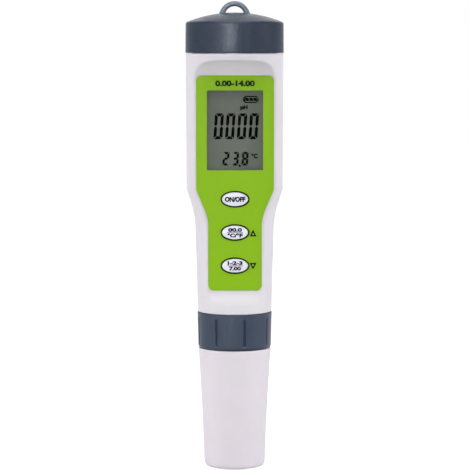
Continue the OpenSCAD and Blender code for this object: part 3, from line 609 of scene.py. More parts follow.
# Liquid crystal: grey-green glass over a matt reflector, and segments that absorb nearly all light
LCD_GLASS = Printed("liquid_crystal_glass", "#757c72", 0.5, streak=0.015, specular=0.02)
LCD_SEGMENT = Printed("liquid_crystal_segment", "#020302", 0.4, specular=0.0)
REFLECTOR_FILM = Printed("reflector_film", "#aab4a8", 0.4)
# Clear parts: the cast display window and the electrode's glass
CLEAR_ACRYLIC = Clear("clear_acrylic", "#2c322c", 0.05, cover=0.02)
BULB_GLASS = Blown("blown_glass", "#dcecf0", 0.04)
# Metals: zinc is greyish, nickel brighter and warmer, drawn steel the smoothest
ZINC_STEEL = Metal("zinc_plated_steel", "#b9bcc2", 0.34)
SPRING_STEEL = Metal("spring_steel", "#b5b8bd", 0.28)
PIN_STEEL = Metal("stainless_steel", "#b0b3b8", 0.25)
CELL_STEEL = Metal("nickel_plated_cell", "#c4c8cc", 0.22)
CONTACT_NICKEL = Metal("nickel_contact", "#cfc7a8", 0.3)
GOLD_PLATE = Metal("gold_plate", "#d6b656", 0.25)
SILVER_WIRE = Metal("silver_wire", "#8d8f92", 0.4)
# Porous parts: the reference junction's frit has the finest pores, the sponge the largest
CERAMIC = Porous("sintered_ceramic", "#efeae0", 0.8, pore=0.12, depth=0.02)
SPONGE_FOAM = Porous("sponge_foam", "#e6dfa8", 0.9, pore=0.7, depth=0.3)


class Body(Enum):
    """The bodies of the frame that new pieces move with."""

    HOUSING = "housing"
    BATTERY_CAP = "battery_cap"
    KEY_POWER = "key_power"
    KEY_HOLD = "key_hold"
    KEY_MODE = "key_mode"
    COLLAR = "collar"
    PROTECTIVE_CAP = "protective_cap"


def fit(piece: Piece, finish: Finish, body: Body, instead_of: Sequence[str] = ()) -> None:
    """Dresses a new piece and hands it to its body.

    Args:
        piece: the new piece.
        finish: its finish.
        body: the body that it moves with.
        instead_of: the frame's nodes that it stands for.
    """
    finish.dress(piece)
    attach(piece, body.value)
    if instead_of:
        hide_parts(*instead_of)
    log.info("%s: %d faces on %s", piece.name, len(piece.data.polygons), body.value)


# Sub-assemblies


@dataclass
class Shell:
    """The white housing: a slim lower half, a shoulder, and a flat front recess with a cove at each end."""

    low_radius: float = 14.5
    waist_radius: float = 15.49
    shoulder_radius: float = 18.87
    top_radius: float = 19.03
    waist_round: float = 39.0
    shoulder_round: float = 2.5
    shoulder_height: float = 11.0
    shoulder_drop: float = 7.5
    wall: float = 1.8
    neck_wall: float = 1.3
    neck_root: float = 5.0
    flat_depth: float = 10.2
    sill_height: float = 4.1
    arch_drop: float = 2.8
    cove_top: float = 8.0
    cove_low: float = 4.0
    lip_round: float = 0.6
    edge_round: float = 0.3
    spigot_radius: float = 12.35
    spigot_bore: float = 10.5
    rib_slot: Point = (2.0, 11.4)
    lens_lap: float = 0.4
    pocket_gap: float = 0.1
    key_gap: float = 0.3
    front_steps: int = 20
    back_steps: int = 60
    row_step: float = 1.6
    inner_row_step: float = 4.0
    inner_lip: float = 0.1
    seam: float = 0.2

    def __post_init__(self) -> None:
        """Reads the heights from the frame."""
        self.z_low = Span.of("collar").high.z + self.seam
        self.z_top = Span.of("housing").high.z
        self.z_spigot = Span.of("housing").low.z
        self.z_arch = self.z_top - self.arch_drop
        self.z_sill = self.z_low + self.sill_height
        self.z_shoulder = Span.of("display_window").low.z + self.lens_lap - self.shoulder_drop
        self.z_waist = self.z_shoulder - self.shoulder_height
        self.side = rounded([
            (0, self.z_low, 0), (self.low_radius, self.z_low, self.edge_round),
            (self.waist_radius, self.z_waist, self.waist_round),
            (self.shoulder_radius, self.z_shoulder, self.shoulder_round),
            (self.top_radius, self.z_top, self.edge_round), (0, self.z_top, 0)], closed=False, step=3)[1:-1]

    def radius(self, z: np.ndarray) -> np.ndarray:
        """The outer radius at each height."""
        radii, heights = np.array(self.side).T
        return np.interp(z, heights, radii)

    @property
    def coves(self) -> tuple[Corner, Corner]:
        """The radius of each cove, the height where it ends, and which way it looks."""
        return (self.cove_top, self.z_arch, 1), (self.cove_low, self.z_sill, -1)

    def into_recess(self, y: np.ndarray, z: np.ndarray) -> np.ndarray:
        """How far each point lies inside the recess, and below nought how far outside it.

        Args:
            y: depths, with the recess open towards -Y.
            z: heights.

        Returns:
            The signed distances.
        """
        depth = -self.flat_depth - y
        found = np.minimum(np.minimum(depth, self.z_arch - z), z - self.z_sill)
        for cove, end, sense in self.coves:
            across, along = cove - depth, sense * (z - end) + cove
            found = np.where((across > 0) & (along > 0), cove - np.hypot(across, along), found)
        return found

    def boundary(self, z: np.ndarray) -> np.ndarray:
        """The angle from the front at which the recess meets the outside, at each height."""
        inside = np.clip(z, self.z_sill, self.z_arch)
        depth = np.full_like(inside, self.flat_depth)
        for cove, end, sense in self.coves:
            along = np.clip(sense * (inside - end) + cove, 0, cove)
            depth = np.maximum(depth, self.flat_depth + cove - np.sqrt(cove ** 2 - along ** 2))
        return np.arccos(np.clip(depth / self.radius(inside), -1, 1))

    def surface(self, angles: np.ndarray, z: np.ndarray, wall: np.ndarray, lip: float,
                cove_wall: float) -> np.ndarray:
        """Solves for the radius of the moulded surface in each direction.

        The outside and the recess meet in a rounded lip. A wall moves both surfaces inwards.

        Args:
            angles: directions from the front, one row for each height.
            z: heights, as a column.
            wall: how far the outside is moved in, as a column.
            lip: the radius of the lip.
            cove_wall: how far the recess is moved in.

        Returns:
            The radii.
        """
        outer = self.radius(z) - wall
        near, far = np.zeros_like(angles), np.ones_like(angles) * outer
        for _ in range(40):
            middle = (near + far) / 2
            beyond = middle - outer + lip
            within = self.into_recess(-middle * np.cos(angles), z) + cove_wall + lip
            value = np.hypot(np.maximum(beyond, 0), np.maximum(within, 0)) - lip
            value += np.minimum(np.maximum(beyond, within), 0)
            near, far = np.where(value < 0, middle, near), np.where(value < 0, far, middle)
        return (near + far) / 2

    def columns(self, z: np.ndarray) -> np.ndarray:
        """Directions round the pen at each height, close together where the lip runs."""
        lip_steps = np.array([0.976, 0.982, 0.988, 0.994, 1.0])
        past_lip = np.array([0.0035, 0.007, 0.0105, 0.014, 0.02])
        front = np.concatenate([np.linspace(0, 0.965, self.front_steps), lip_steps])
        back = np.concatenate([past_lip, np.linspace(0.03, 1, self.back_steps)])
        limit = self.boundary(z)
        half = np.concatenate([limit * front, limit + (math.pi - limit) * back], axis=1)
        return np.concatenate([-half[:, :0:-1], half], axis=1)

    def heights(self, coarse: float) -> np.ndarray:
        """Heights of the rows, close together in the coves and at their ends."""
        quarter = np.radians(np.linspace(0, 90, 25))
        top = self.z_arch - self.cove_top * (1 - np.sin(quarter))
        low = self.z_sill + self.cove_low * (1 - np.sin(quarter))
        past = np.array([0.003, 0.02, 0.06, 0.12, 0.2, 0.3, 0.45])
        plain = np.arange(self.z_low + 1, self.z_top - 0.5, coarse)
        rows = np.concatenate([[z for _, z in self.side], top, low, self.z_arch + past, self.z_sill - past,
                               plain])
        rows = np.sort(rows[(rows >= self.z_low) & (rows <= self.z_top)])
        return rows[np.concatenate([[True], np.diff(rows) > 0.002])]

    def rings(self) -> np.ndarray:
        """The points of the whole closed wall, row by row: outside, rim, inside, floor and spigot."""
        z_out = self.heights(self.row_step)[:, None]
        across = self.columns(z_out)
        outside = self.surface(across, z_out, np.zeros_like(z_out), self.lip_round, 0.0)
        z_floor = self.z_low + self.wall
        above = [z for z in self.heights(self.inner_row_step)[::-1] if z > z_floor + 0.2]
        z_in = np.array(above + [z_floor])[:, None]
        wall = np.where(z_in > self.z_top - self.neck_root, self.neck_wall, self.wall)
        across_in = self.columns(z_in)
        inside = self.surface(across_in, z_in, wall, self.inner_lip, self.wall)
        rows = [(outside[i], across[i], z_out[i, 0]) for i in range(len(z_out))]
        rows += [(inside[i], across_in[i], z_in[i, 0]) for i in range(len(z_in))]
        end = across[0]
        for radius, z in ((self.spigot_bore, z_floor), (self.spigot_bore, self.z_spigot),
                          (self.spigot_radius, self.z_spigot), (self.spigot_radius, self.z_low)):
            rows.append((np.full_like(end, radius), end, z))
        rows.append(rows[0])
        return np.array([[(r * math.sin(a), -r * math.cos(a), z) for r, a in zip(radii, angles)]
                         for radii, angles, z in rows])

    def body(self) -> BMesh:
        """Shapes a grid into the closed wall."""
        rings = self.rings()
        rows, columns = rings.shape[:2]
        bm = bmesh.new()
        bmesh.ops.create_grid(bm, x_segments=columns - 1, y_segments=rows - 1, size=1)
        for vert in bm.verts:
            column = round((vert.co.x + 1) / 2 * (columns - 1))
            row = round((vert.co.y + 1) / 2 * (rows - 1))
            vert.co = rings[row, column]
        return clean(bm)

    def build(self, panel: "FrontPanel", keys: "Keypad") -> None:
        """Makes the shell, opens its front and gives the spigot its thread."""
        shell = to_object("shell_moulding", self.body(), smooth=32)
        floor = Span.of("front_panel").high.y
        before, behind = floor - 1, floor + self.wall + 3
        half_slot, slot_depth = self.rib_slot[0] / 2, self.rib_slot[1]
        slot = rectangle((-half_slot, self.z_spigot - 1), (half_slot, self.z_low + self.wall + 1))
        cut(shell, [slab(panel.outline(self.pocket_gap), -self.top_radius - 1, floor),
                    slab(Span.of("display_window").outline(self.pocket_gap), before, behind),
                    *keys.openings(self.key_gap, before, behind), slab(slot, 0, slot_depth)], smooth=32)
        fit(shell, WHITE_ABS, Body.HOUSING, ["housing"])
        ridge = to_object("spigot_thread", thread(self.spigot_radius, self.z_spigot + 0.4, self.z_low))
        fit(ridge, WHITE_ABS, Body.HOUSING)


@dataclass
class FrontPanel:
    """The green overlay: wide beside the display and narrow beside the keys, with its print."""

    low_rim: float = 0.3
    slope: float = 23.0
    corner_round: float = 2.1
    waist_round: float = 16.0
    edge_round: float = 0.12
    window_inset: float = 0.4
    window_round: float = 0.4
    ring_gap: float = 0.61
    header: str = "0.00-14.00"
    header_drop: float = 2.98
    header_size: Point = (15.3, 2.25)
    arrow_x: float = 7.0
    arrow_size: Point = (2.7, 2.6)
    arrow_drop: float = 0.2
    arrow_round: float = 0.12

    def __post_init__(self) -> None:
        """Reads the panel's place from the frame."""
        self.box = Span.of("front_panel")
        self.window = Span.of("display_window")

    def outline(self, grow: float = 0.0) -> list[Point]:
        """The panel's outline, or one that stands off it by a gap."""
        shell = Shell()
        top = self.box.high.x + grow
        low_radius = float(shell.radius(np.array(self.box.low.z)))
        low = math.sqrt(low_radius ** 2 - shell.flat_depth ** 2) - self.low_rim + grow
        slope = math.radians(self.slope)
        z_corner = shell.z_shoulder - grow * math.tan(slope / 2)
        z_narrow = z_corner - (top - low) / math.tan(slope)
        turn = self.corner_round
        side = [(low, self.box.low.z - grow, turn), (low, z_narrow, self.waist_round), (top, z_corner, turn),
                (top, self.box.high.z + grow, turn)]
        return rounded(side + [(-x, z, r) for x, z, r in reversed(side)], step=4)

    def arrow(self, z: float, sense: int, scale: float, thickness: float) -> BMesh:
        """A triangle that points up or down, with slightly rounded corners."""
        wide, tall = self.arrow_size[0] * scale / 2, self.arrow_size[1] * scale
        middle = z - self.arrow_drop - sense * self.arrow_size[1] / 6
        foot = middle - sense * tall / 3
        points = [(self.arrow_x + x, foot + y, self.arrow_round)
                  for x, y in ((-wide, 0), (wide, 0), (0, sense * tall))]
        front, sunk = self.box.low.y, 0.02
        return slab(rounded(points, step=30), front - thickness, front + sunk)

    def build(self, keys: "Keypad") -> None:
        """Makes the overlay, cuts its openings and prints on it."""
        front, back = self.box.low.y, self.box.high.y
        before, behind = front - 1, back + 1
        sheet = to_object("panel_overlay", slab(self.outline(), front, back))
        window = self.window.outline(-self.window_inset, self.window_round)
        cut(sheet, [slab(window, before, behind), *keys.openings(self.ring_gap, before, behind)])
        body = bmesh.new()
        body.from_mesh(sheet.data)
        bmesh.ops.dissolve_limit(body, angle_limit=math.radians(1), verts=body.verts, edges=body.edges)
        bevelled(body, self.edge_round * MM)
        body.to_mesh(sheet.data)
        body.free()
        fit(flattened(sheet), GREEN_FILM, Body.HOUSING, ["front_panel"])
        text = moved(lettering(self.header, *self.header_size, 0.05), y=front,
                     z=self.box.high.z - self.header_drop)
        fit(to_object("panel_numbers", text), DARK_INK, Body.HOUSING)
        for name, z, sense in (("up", keys.heights[1], 1), ("down", keys.heights[2], -1)):
            for part, scale, thickness, ink in (("", 1.0, 0.03, DARK_INK), ("_fill", 0.32, 0.05, PALE_INK)):
                arrow = self.arrow(z, sense, scale, thickness)
                fit(to_object(f"arrow_{name}{part}", arrow), ink, Body.HOUSING)


@dataclass
class Keypad:
    """Three domed oval keys in dark rings, each with a plain legend."""

    width: float = 10.1
    height: float = 5.35
    dome: float = 0.35
    dome_sink: float = 0.15
    dome_edge: float = 72.0
    print_rise: float = 0.86
    rim_depth: float = 0.8
    ring_band: float = 0.46
    ring_out: float = 0.56
    ring_round: float = 0.12
    legend_gap: float = 1.06
    rule: Point = (3.0, 0.13)

    def __post_init__(self) -> None:
        """Reads the heights of the keys from the frame, and sets the plane of their print."""
        self.heights = [Span.of(name).middle.z for name in ("key_power", "key_hold", "key_mode")]
        self.box = Span.of("key_power")
        self.front = self.box.low.y
        self.print_plane = self.front - self.dome * self.print_rise

    def outline(self, gap: float) -> list[Point]:
        """The oval that lies a gap outside a key."""
        return oval(self.width + 2 * gap, self.height + 2 * gap)

    def openings(self, gap: float, front: float, back: float) -> list[BMesh]:
        """What is cut out for the three keys, between two depths."""
        return [moved(slab(self.outline(gap), front, back), z=z) for z in self.heights]

    def cap(self, z: float) -> BMesh:
        """One key: a shallow dome with a soft edge, over a straight side and a rim behind the wall."""
        front, back = self.front, self.box.high.y
        half, flare = self.width / 2, (self.box.high.x - self.box.low.x) / 2
        crown = [(half * math.sin(a), front - self.dome * math.cos(a) + self.dome * self.dome_sink)
                 for a in np.radians(np.linspace(0, self.dome_edge, 10))]
        profile = crown + [(half - 0.1, front + 0.12), (half, front + 0.3), (half, back - self.rim_depth),
                           (flare, back - self.rim_depth), (flare, back), (0, back)]
        bm = spun([(r, -y) for r, y in profile], 96)
        bmesh.ops.rotate(bm, matrix=Matrix.Rotation(math.pi / 2, 3, "X"), verts=bm.verts)
        for vert in bm.verts:
            share = math.hypot(vert.co.x, vert.co.z)
            if share > 1e-6:
                # The oval's height is scaled down only inside the straight side, so the rim keeps its width
                trim = max(0.0, share - half)
                vert.co.z *= ((share - trim) / share) * self.height / self.width + trim / share
        return moved(clean(bm), z=z)

    def ring(self, z: float) -> BMesh:
        """The dark ring round a key, with a rounded front."""
        front, back = Span.of("key_bezels").low.y, Span.of("key_bezels").high.y
        bm = band(self.outline(self.ring_out), self.outline(self.ring_out - self.ring_band), front, back)
        edges = [e for e in bm.edges
                 if e.calc_face_angle() > 1 and max(v.co.y for v in e.verts) < front + 0.01]
        bmesh.ops.bevel(bm, geom=edges, offset=self.ring_round, segments=3, profile=0.5, affect="EDGES",
                        material=-1)
        return moved(bm, z=z)

    def legend(self, lines: Sequence[tuple[str, float, float]], z: float) -> list[BMesh]:
        """The print of one key: one or two lines of plain characters, each with its width and height."""
        senses, weight, sunk = ((0,), 0.06, 0.03) if len(lines) == 1 else ((1, -1), 0.055, 0.05)
        return [moved(lettering(*line, weight, thickness=0.05), y=self.print_plane + sunk,
                      z=z + sense * self.legend_gap) for sense, line in zip(senses, lines)]

    def build(self) -> None:
        """Makes keys, rings and legends."""
        rings = merged(self.ring(z) for z in self.heights)
        fit(to_object("key_rings", rings), RING_PLASTIC, Body.HOUSING, ["key_bezels"])
        legends = {
            Body.KEY_POWER: [("ON/OFF", 7.9, 2.0)],
            Body.KEY_HOLD: [("00.0", 5.4, 1.55), ("°C/°F", 5.9, 1.55)],
            Body.KEY_MODE: [("1-2-3", 5.8, 1.55), ("7.00", 4.6, 1.55)],
        }
        for z, (body, lines) in zip(self.heights, legends.items()):
            cap = to_object(f"{body.value}_cap", self.cap(z))
            fit(cap, KEY_SILICONE, body, [body.value])
            text = to_object(f"{body.value}_legend", merged(self.legend(lines, z)))
            fit(text, KEY_INK, body)
            if len(lines) > 1:
                half, thin = self.rule
                bar = slab(rectangle((-half, z - thin), (half, z + thin)), self.print_plane - 0.02,
                           self.print_plane + 0.1)
                fit(to_object(f"{body.value}_rule", bar), RULE_INK, body)


class Segment(Enum):
    """The seven strokes of a digit: corner to corner, in shares of half its width and half its height."""

    TOP = ((-1, 1), (1, 1))
    UPPER_LEFT = ((-1, 0), (-1, 1))
    UPPER_RIGHT = ((1, 0), (1, 1))
    MIDDLE = ((-1, 0), (1, 0))
    LOWER_LEFT = ((-1, -1), (-1, 0))
    LOWER_RIGHT = ((1, -1), (1, 0))
    FOOT = ((-1, -1), (1, -1))


STROKES = {
    "0": [s for s in Segment if s is not Segment.MIDDLE],
    "2": [Segment.TOP, Segment.UPPER_RIGHT, Segment.MIDDLE, Segment.LOWER_LEFT, Segment.FOOT],
    "3": [Segment.TOP, Segment.UPPER_RIGHT, Segment.MIDDLE, Segment.LOWER_RIGHT, Segment.FOOT],
    "8": list(Segment),
}


@dataclass
class Display:
    """The liquid crystal: its glass, the segments that are on, and the clear lens over them."""

    slant: float = 4.0
    ink_depth: float = 0.03
    big_size: Point = (3.45, 10.0)
    big_pitch: float = 4.53
    big_line: float = 1.15
    big_centre: Point = (0.48, 134.42)
    small_size: Point = (2.5, 5.25)
    small_pitch: float = 3.71
    small_line: float = 0.88
    small_centre: Point = (0.22, 121.83)
    signs: tuple[tuple[str, float, float, float, float], ...] = (
        ("pH", 2.85, 2.1, 3.5, 141.55), ("°C", 2.4, 1.95, 7.6, 122.9))
    battery_centre: Point = (6.15, 144.78)
    battery_size: Point = (6.0, 2.7)
    battery_line: float = 0.42
    battery_cuts: Point = (0.85, 0.5)
    pole: float = 0.75
    lens_round: float = 0.5
    lens_edge: float = 0.15

    def __post_init__(self) -> None:
        """Reads where the glass lies."""
        self.lens = Span.of("display_window")
        self.y = Span.of("lcd_glass").low.y - 0.01

    def plate(self, outline: Sequence[Point]) -> BMesh:
        """A thin dark shape on the glass."""
        return slab(outline, self.y - self.ink_depth, self.y)

    def digit(self, sign: str, size: Point, line: float, centre: Point) -> list[BMesh]:
        """The strokes of one digit, mitred at the corners, with thin gaps between them and a slant.

        Args:
            sign: the digit.
            size: its width and height.
            line: the width of its strokes.
            centre: its middle, in x and z.

        Returns:
            One body for each stroke.
        """
        half = Vector(((size[0] - line) / 2, (size[1] - line) / 2))
        lean = math.tan(math.radians(self.slant))
        gap, trim = line * 0.05, line * 0.25
        parts = []
        for stroke in STROKES[sign]:
            ends = [Vector((x * half.x, y * half.y)) for x, y in stroke.value]
            along = (ends[1] - ends[0]).normalized()
            side = Vector((-along.y, along.x)) * line / 2
            if side.dot(ends[0] + ends[1]) < 0:
                side = -side
            points = []
            for end, sense, (_, y) in zip(ends, (1, -1), stroke.value):
                step = along * sense
                inner = end + step * (gap + line / 2)
                if y == 0:
                    tip = [inner + side, end + step * gap, inner - side]
                else:
                    tip = [end + step * (gap - line / 2 + trim) + side, inner - side]
                points += tip if sense > 0 else tip[::-1]
            parts.append(self.plate([(centre[0] + p.x + p.y * lean, centre[1] + p.y) for p in points]))
        return parts

    def number(self, text: str, size: Point, pitch: float, line: float, centre: Point) -> list[BMesh]:
        """Digits in a row, with a point where the text has one."""
        digits = text.replace(".", "")
        first = centre[0] - pitch * (len(digits) - 1) / 2
        parts = []
        for i, sign in enumerate(digits):
            parts += self.digit(sign, size, line, (first + i * pitch, centre[1]))
        if "." in text:
            x = first + (text.index(".") - 0.5) * pitch - line * 0.25
            z = centre[1] - size[1] / 2 - line * 0.15
            parts.append(self.plate([(x + px, z + pz) for px, pz in oval(line, line, 16)]))
        return parts

    def battery(self) -> list[BMesh]:
        """The sign of a battery: an outline that is thicker at its pole, with three slanted bars in it."""
        (x, z), line = self.battery_centre, self.battery_line
        wide, tall = self.battery_size[0] / 2, self.battery_size[1] / 2
        outer_cut, inner_cut = self.battery_cuts
        outer = chamfered((x - wide, z - tall), (x + wide, z + tall), outer_cut)
        inner = chamfered((x - wide + self.pole, z - tall + line), (x + wide - line, z + tall - line),
                          inner_cut)
        parts = [band(outer, inner, self.y, self.y - self.ink_depth)]
        bar, rise, slant, first, pitch = 0.66, 0.58, 0.2, 0.15, 1.58
        for i in (-1, 0, 1):
            middle = x + first + i * pitch
            parts.append(self.plate([(middle - bar + slant, z - rise), (middle + bar + slant, z - rise),
                                     (middle + bar - slant, z + rise), (middle - bar - slant, z + rise)]))
        return parts

    def build(self) -> None:
        """Makes the segments that are on, and the lens."""
        parts = self.number("0000", self.big_size, self.big_pitch, self.big_line, self.big_centre)
        parts += self.number("23.8", self.small_size, self.small_pitch, self.small_line, self.small_centre)
        parts += self.battery()
        for text, width, height, x, z in self.signs:
            parts.append(moved(lettering(text, width, height, 0.06, self.ink_depth), x=x, y=self.y, z=z))
        fit(to_object("display_segments", merged(parts)), LCD_SEGMENT, Body.HOUSING)
        plate = slab(self.lens.outline(radius=self.lens_round), self.lens.low.y, self.lens.high.y)
        lens = to_object("display_lens", bevelled(plate, self.lens_edge), smooth=50)
        fit(flattened(lens), CLEAR_ACRYLIC, Body.HOUSING, ["display_window"])


@dataclass
class BatteryCap:
    """The dark screw cap: a low dome on a straight wall, with a moulded loop for a lanyard."""

    low_radius: float = 19.2
    top_radius: float = 19.1
    bore: float = 16.9
    hollow: float = 14.4
    dome_radius: float = 47.5
    dome_lift: float = 0.35
    dome_wall: float = 2.3
    rim_round: float = 1.1
    loop_radius: float = 5.9
    loop_bar: float = 2.05
    loop_depth: float = 3.0
    loop_sink: float = 1.1
    loop_soft: float = 0.98
    loop_foot: float = 17.0
    loop_swell: float = 0.3
    swell_angles: Point = (8.0, 38.0)
    edge_round: float = 0.3
    neck_bore: float = 14.7
    neck_radius: float = 16.6
    neck_flange: float = 17.6
    neck_cover: float = 1.9

    def __post_init__(self) -> None:
        """Reads the heights from the frame."""
        box = Span.of("battery_cap")
        self.z_low = box.low.z
        self.z_crest = box.high.z - self.loop_radius + self.loop_sink
        self.z_ceiling = Span.of("cap_seal").high.z + 0.05
        self.neck = Span.of("battery_neck")

    def dome(self, limit: float, drop: float = 0.0) -> list[Point]:
        """The arc of the dome from its crest out to a radius, or one that lies lower."""
        z_crest = self.z_crest + self.dome_lift
        return [(r, z_crest - r ** 2 / (2 * self.dome_radius) - drop) for r in np.linspace(0, limit, 28)]

    def profile(self) -> list[Point]:
        """The section of the cap: wall, rim, dome, and the hollow underneath."""
        arc = self.dome(self.top_radius)
        # The dome meets the wall at an obtuse angle, so its last points give way to the rim's rounding
        crown = [p for p in arc if p[0] < self.top_radius - self.rim_round]
        wall = rounded([(self.bore, self.z_low, 0), (self.low_radius, self.z_low, self.edge_round),
                        (*arc[-1], self.rim_round), (*crown[-1], 0)], closed=False, step=9)
        under = self.dome(self.hollow, self.dome_wall)
        return (crown[:-1] + wall[::-1][:-1] + [(self.bore, self.z_low + self.edge_round)]
                + [(self.bore, self.z_ceiling), (self.hollow, self.z_ceiling)] + under[::-1])

    def loop(self) -> BMesh:
        """The loop, which swells where it grows out of the dome."""
        half, deep = self.loop_bar / 2, self.loop_depth / 2
        ring, foot = self.loop_radius - half, math.radians(self.loop_foot)
        bm = bmesh.new()
        section = rectangle((-half, -deep), (half, deep), self.loop_soft, step=12)
        face = bm.faces.new([bm.verts.new((ring + x, y, 0)) for x, y in section])
        bmesh.ops.rotate(bm, matrix=Matrix.Rotation(foot, 3, "Y"), verts=bm.verts)
        bmesh.ops.spin(bm, geom=[face], axis=(0, -1, 0), angle=math.pi + 2 * foot, steps=56)
        full, none = self.swell_angles
        for vert in bm.verts:
            angle = math.atan2(vert.co.z, abs(vert.co.x))
            spread = max(0.0, min(1.0, 1 - (math.degrees(angle) - full) / (none - full))) ** 2
            centre = Vector((math.copysign(ring * math.cos(angle), vert.co.x), 0, ring * math.sin(angle)))
            vert.co = centre + (vert.co - centre) * (1 + self.loop_swell * spread)
        return moved(clean(bm), z=self.z_crest - self.loop_sink)

    def build(self) -> None:
        """Makes the cap with its loop, and the threaded neck under it."""
        cap = to_object("battery_cap_moulding", spun(self.profile()), smooth=35)
        fit(cap, SLATE_ABS, Body.BATTERY_CAP, ["battery_cap"])
        # The loop's paler slate is painted light from above, not a colour of its own
        fit(to_object("lanyard_loop", self.loop()), LOOP_ABS_PAINTED_LIGHT, Body.BATTERY_CAP)
        low, high, step = self.neck.low.z, self.neck.high.z, self.z_low - 0.2
        shell, far = Shell(), 30
        neck = to_object("neck_ring", spun(rounded([
            (self.neck_bore, low, 0), (self.neck_flange, low, 0), (self.neck_flange, step, 0),
            (self.neck_radius, step, 0), (self.neck_radius, high, 0.6), (self.neck_bore, high, 0.3)])))
        # The neck stays behind the wall of the shell's recess
        recess = rectangle((-far, low - 1), (far, shell.z_arch + self.neck_cover))
        cut(neck, [slab(recess, -far, -shell.flat_depth + self.neck_cover)])
        fit(neck, NECK_ABS, Body.HOUSING, ["battery_neck"])
        ridge = thread(self.neck_radius, self.z_low + 0.6, high - 0.4)
        fit(to_object("neck_thread", ridge), NECK_ABS, Body.HOUSING)


@dataclass
class Collar:
    """The dark screw collar with eight narrow grip grooves."""

    low_radius: float = 14.3
    top_radius: float = 14.65
    bore: float = 12.65
    lip_bore: float = 11.5
    pocket_radius: float = 12.3
    pocket_height: float = 1.5
    lip_height: float = 1.5
    foot_round: float = 0.9
    head_round: float = 0.25
    groove_count: int = 8
    groove_depth: float = 0.75
    groove_half: float = 0.68
    phase: float = 14.6
    top_band: float = 1.8
    low_band: float = 1.3
    fade: float = 0.7
    steps: int = 480

    def __post_init__(self) -> None:
        """Reads the collar's place from the frame."""
        self.box = Span.of("collar")

    def profile(self) -> list[Point]:
        """The section of the collar, with rows close together on its outside."""
        low, high, z_lip = self.box.low.z, self.box.high.z, self.box.low.z + self.pocket_height
        outer = rounded([
            (self.pocket_radius, low, 0), (self.low_radius, low, self.foot_round),
            (self.top_radius, high, self.head_round), (self.bore, high, 0)], closed=False, step=15)
        middle = [i for i, (_, z) in enumerate(outer) if z < (low + high) / 2][-1]
        foot, head = outer[middle], outer[middle + 1]
        side = [(foot[0] + (head[0] - foot[0]) * t, foot[1] + (head[1] - foot[1]) * t)
                for t in np.linspace(0, 1, 34)[1:-1]]
        inner = [(self.bore, z_lip + self.lip_height), (self.lip_bore, z_lip + self.lip_height),
                 (self.lip_bore, z_lip), (self.pocket_radius, z_lip)]
        return outer[:middle + 1] + side + outer[middle + 1:] + inner

    def build(self) -> None:
        """Spins the collar and presses the grooves into its outside."""
        bm = spun(self.profile(), self.steps)
        low, high = self.box.low.z + self.low_band, self.box.high.z - self.top_band
        pitch = math.tau / self.groove_count
        for vert in bm.verts:
            radius = math.hypot(vert.co.x, vert.co.y)
            angle = math.atan2(vert.co.x, -vert.co.y) - math.radians(self.phase)
            across = abs((angle + pitch / 2) % pitch - pitch / 2) * radius / self.groove_half
            ends = min(vert.co.z - low, high - vert.co.z) / self.fade
            if radius >= self.low_radius - 0.6 and across < 1 and ends > 0:
                # A round-bottomed groove with soft shoulders, which runs out at both ends
                depth = self.groove_depth * (1 - across ** 1.6) ** 1.2 * min(1.0, ends) ** 0.6
                vert.co.x *= (radius - depth) / radius
                vert.co.y *= (radius - depth) / radius
        fit(to_object("collar_moulding", bm, smooth=35), COLLAR_ABS, Body.COLLAR, ["collar"])


@dataclass
class ProtectiveCap:
    """The white cap over the probe, which is also the foot that the pen stands on."""

    base_radius: float = 11.95
    mouth_radius: float = 14.28
    bow: float = 0.24
    foot_round: float = 1.8
    mouth_round: float = 0.3
    bore: float = 11.5
    bore_round: float = 0.6
    bore_depth: float = 10.7
    step_round: float = 0.5
    cavity: float = 10.3
    floor: float = 1.8
    floor_round: float = 1.0

    def build(self) -> None:
        """Spins the cap, whose sides bow in a little."""
        top, taper = Span.of("protective_cap").high.z, self.mouth_radius - self.base_radius
        side = [(self.base_radius + taper * t - 4 * self.bow * t * (1 - t), top * t, 0)
                for t in np.linspace(0, 1, 26)[1:-1]]
        corners = [(0, 0, 0), (self.base_radius, 0, self.foot_round), *side,
                   (self.mouth_radius, top, self.mouth_round), (self.bore, top, self.bore_round),
                   (self.bore, top - self.bore_depth, self.step_round),
                   (self.cavity, self.floor, self.floor_round), (0, self.floor, 0)]
        cap = to_object("protective_cap_moulding", spun(rounded(corners, closed=False)), smooth=35)
        fit(cap, WHITE_PP, Body.PROTECTIVE_CAP, ["protective_cap"])


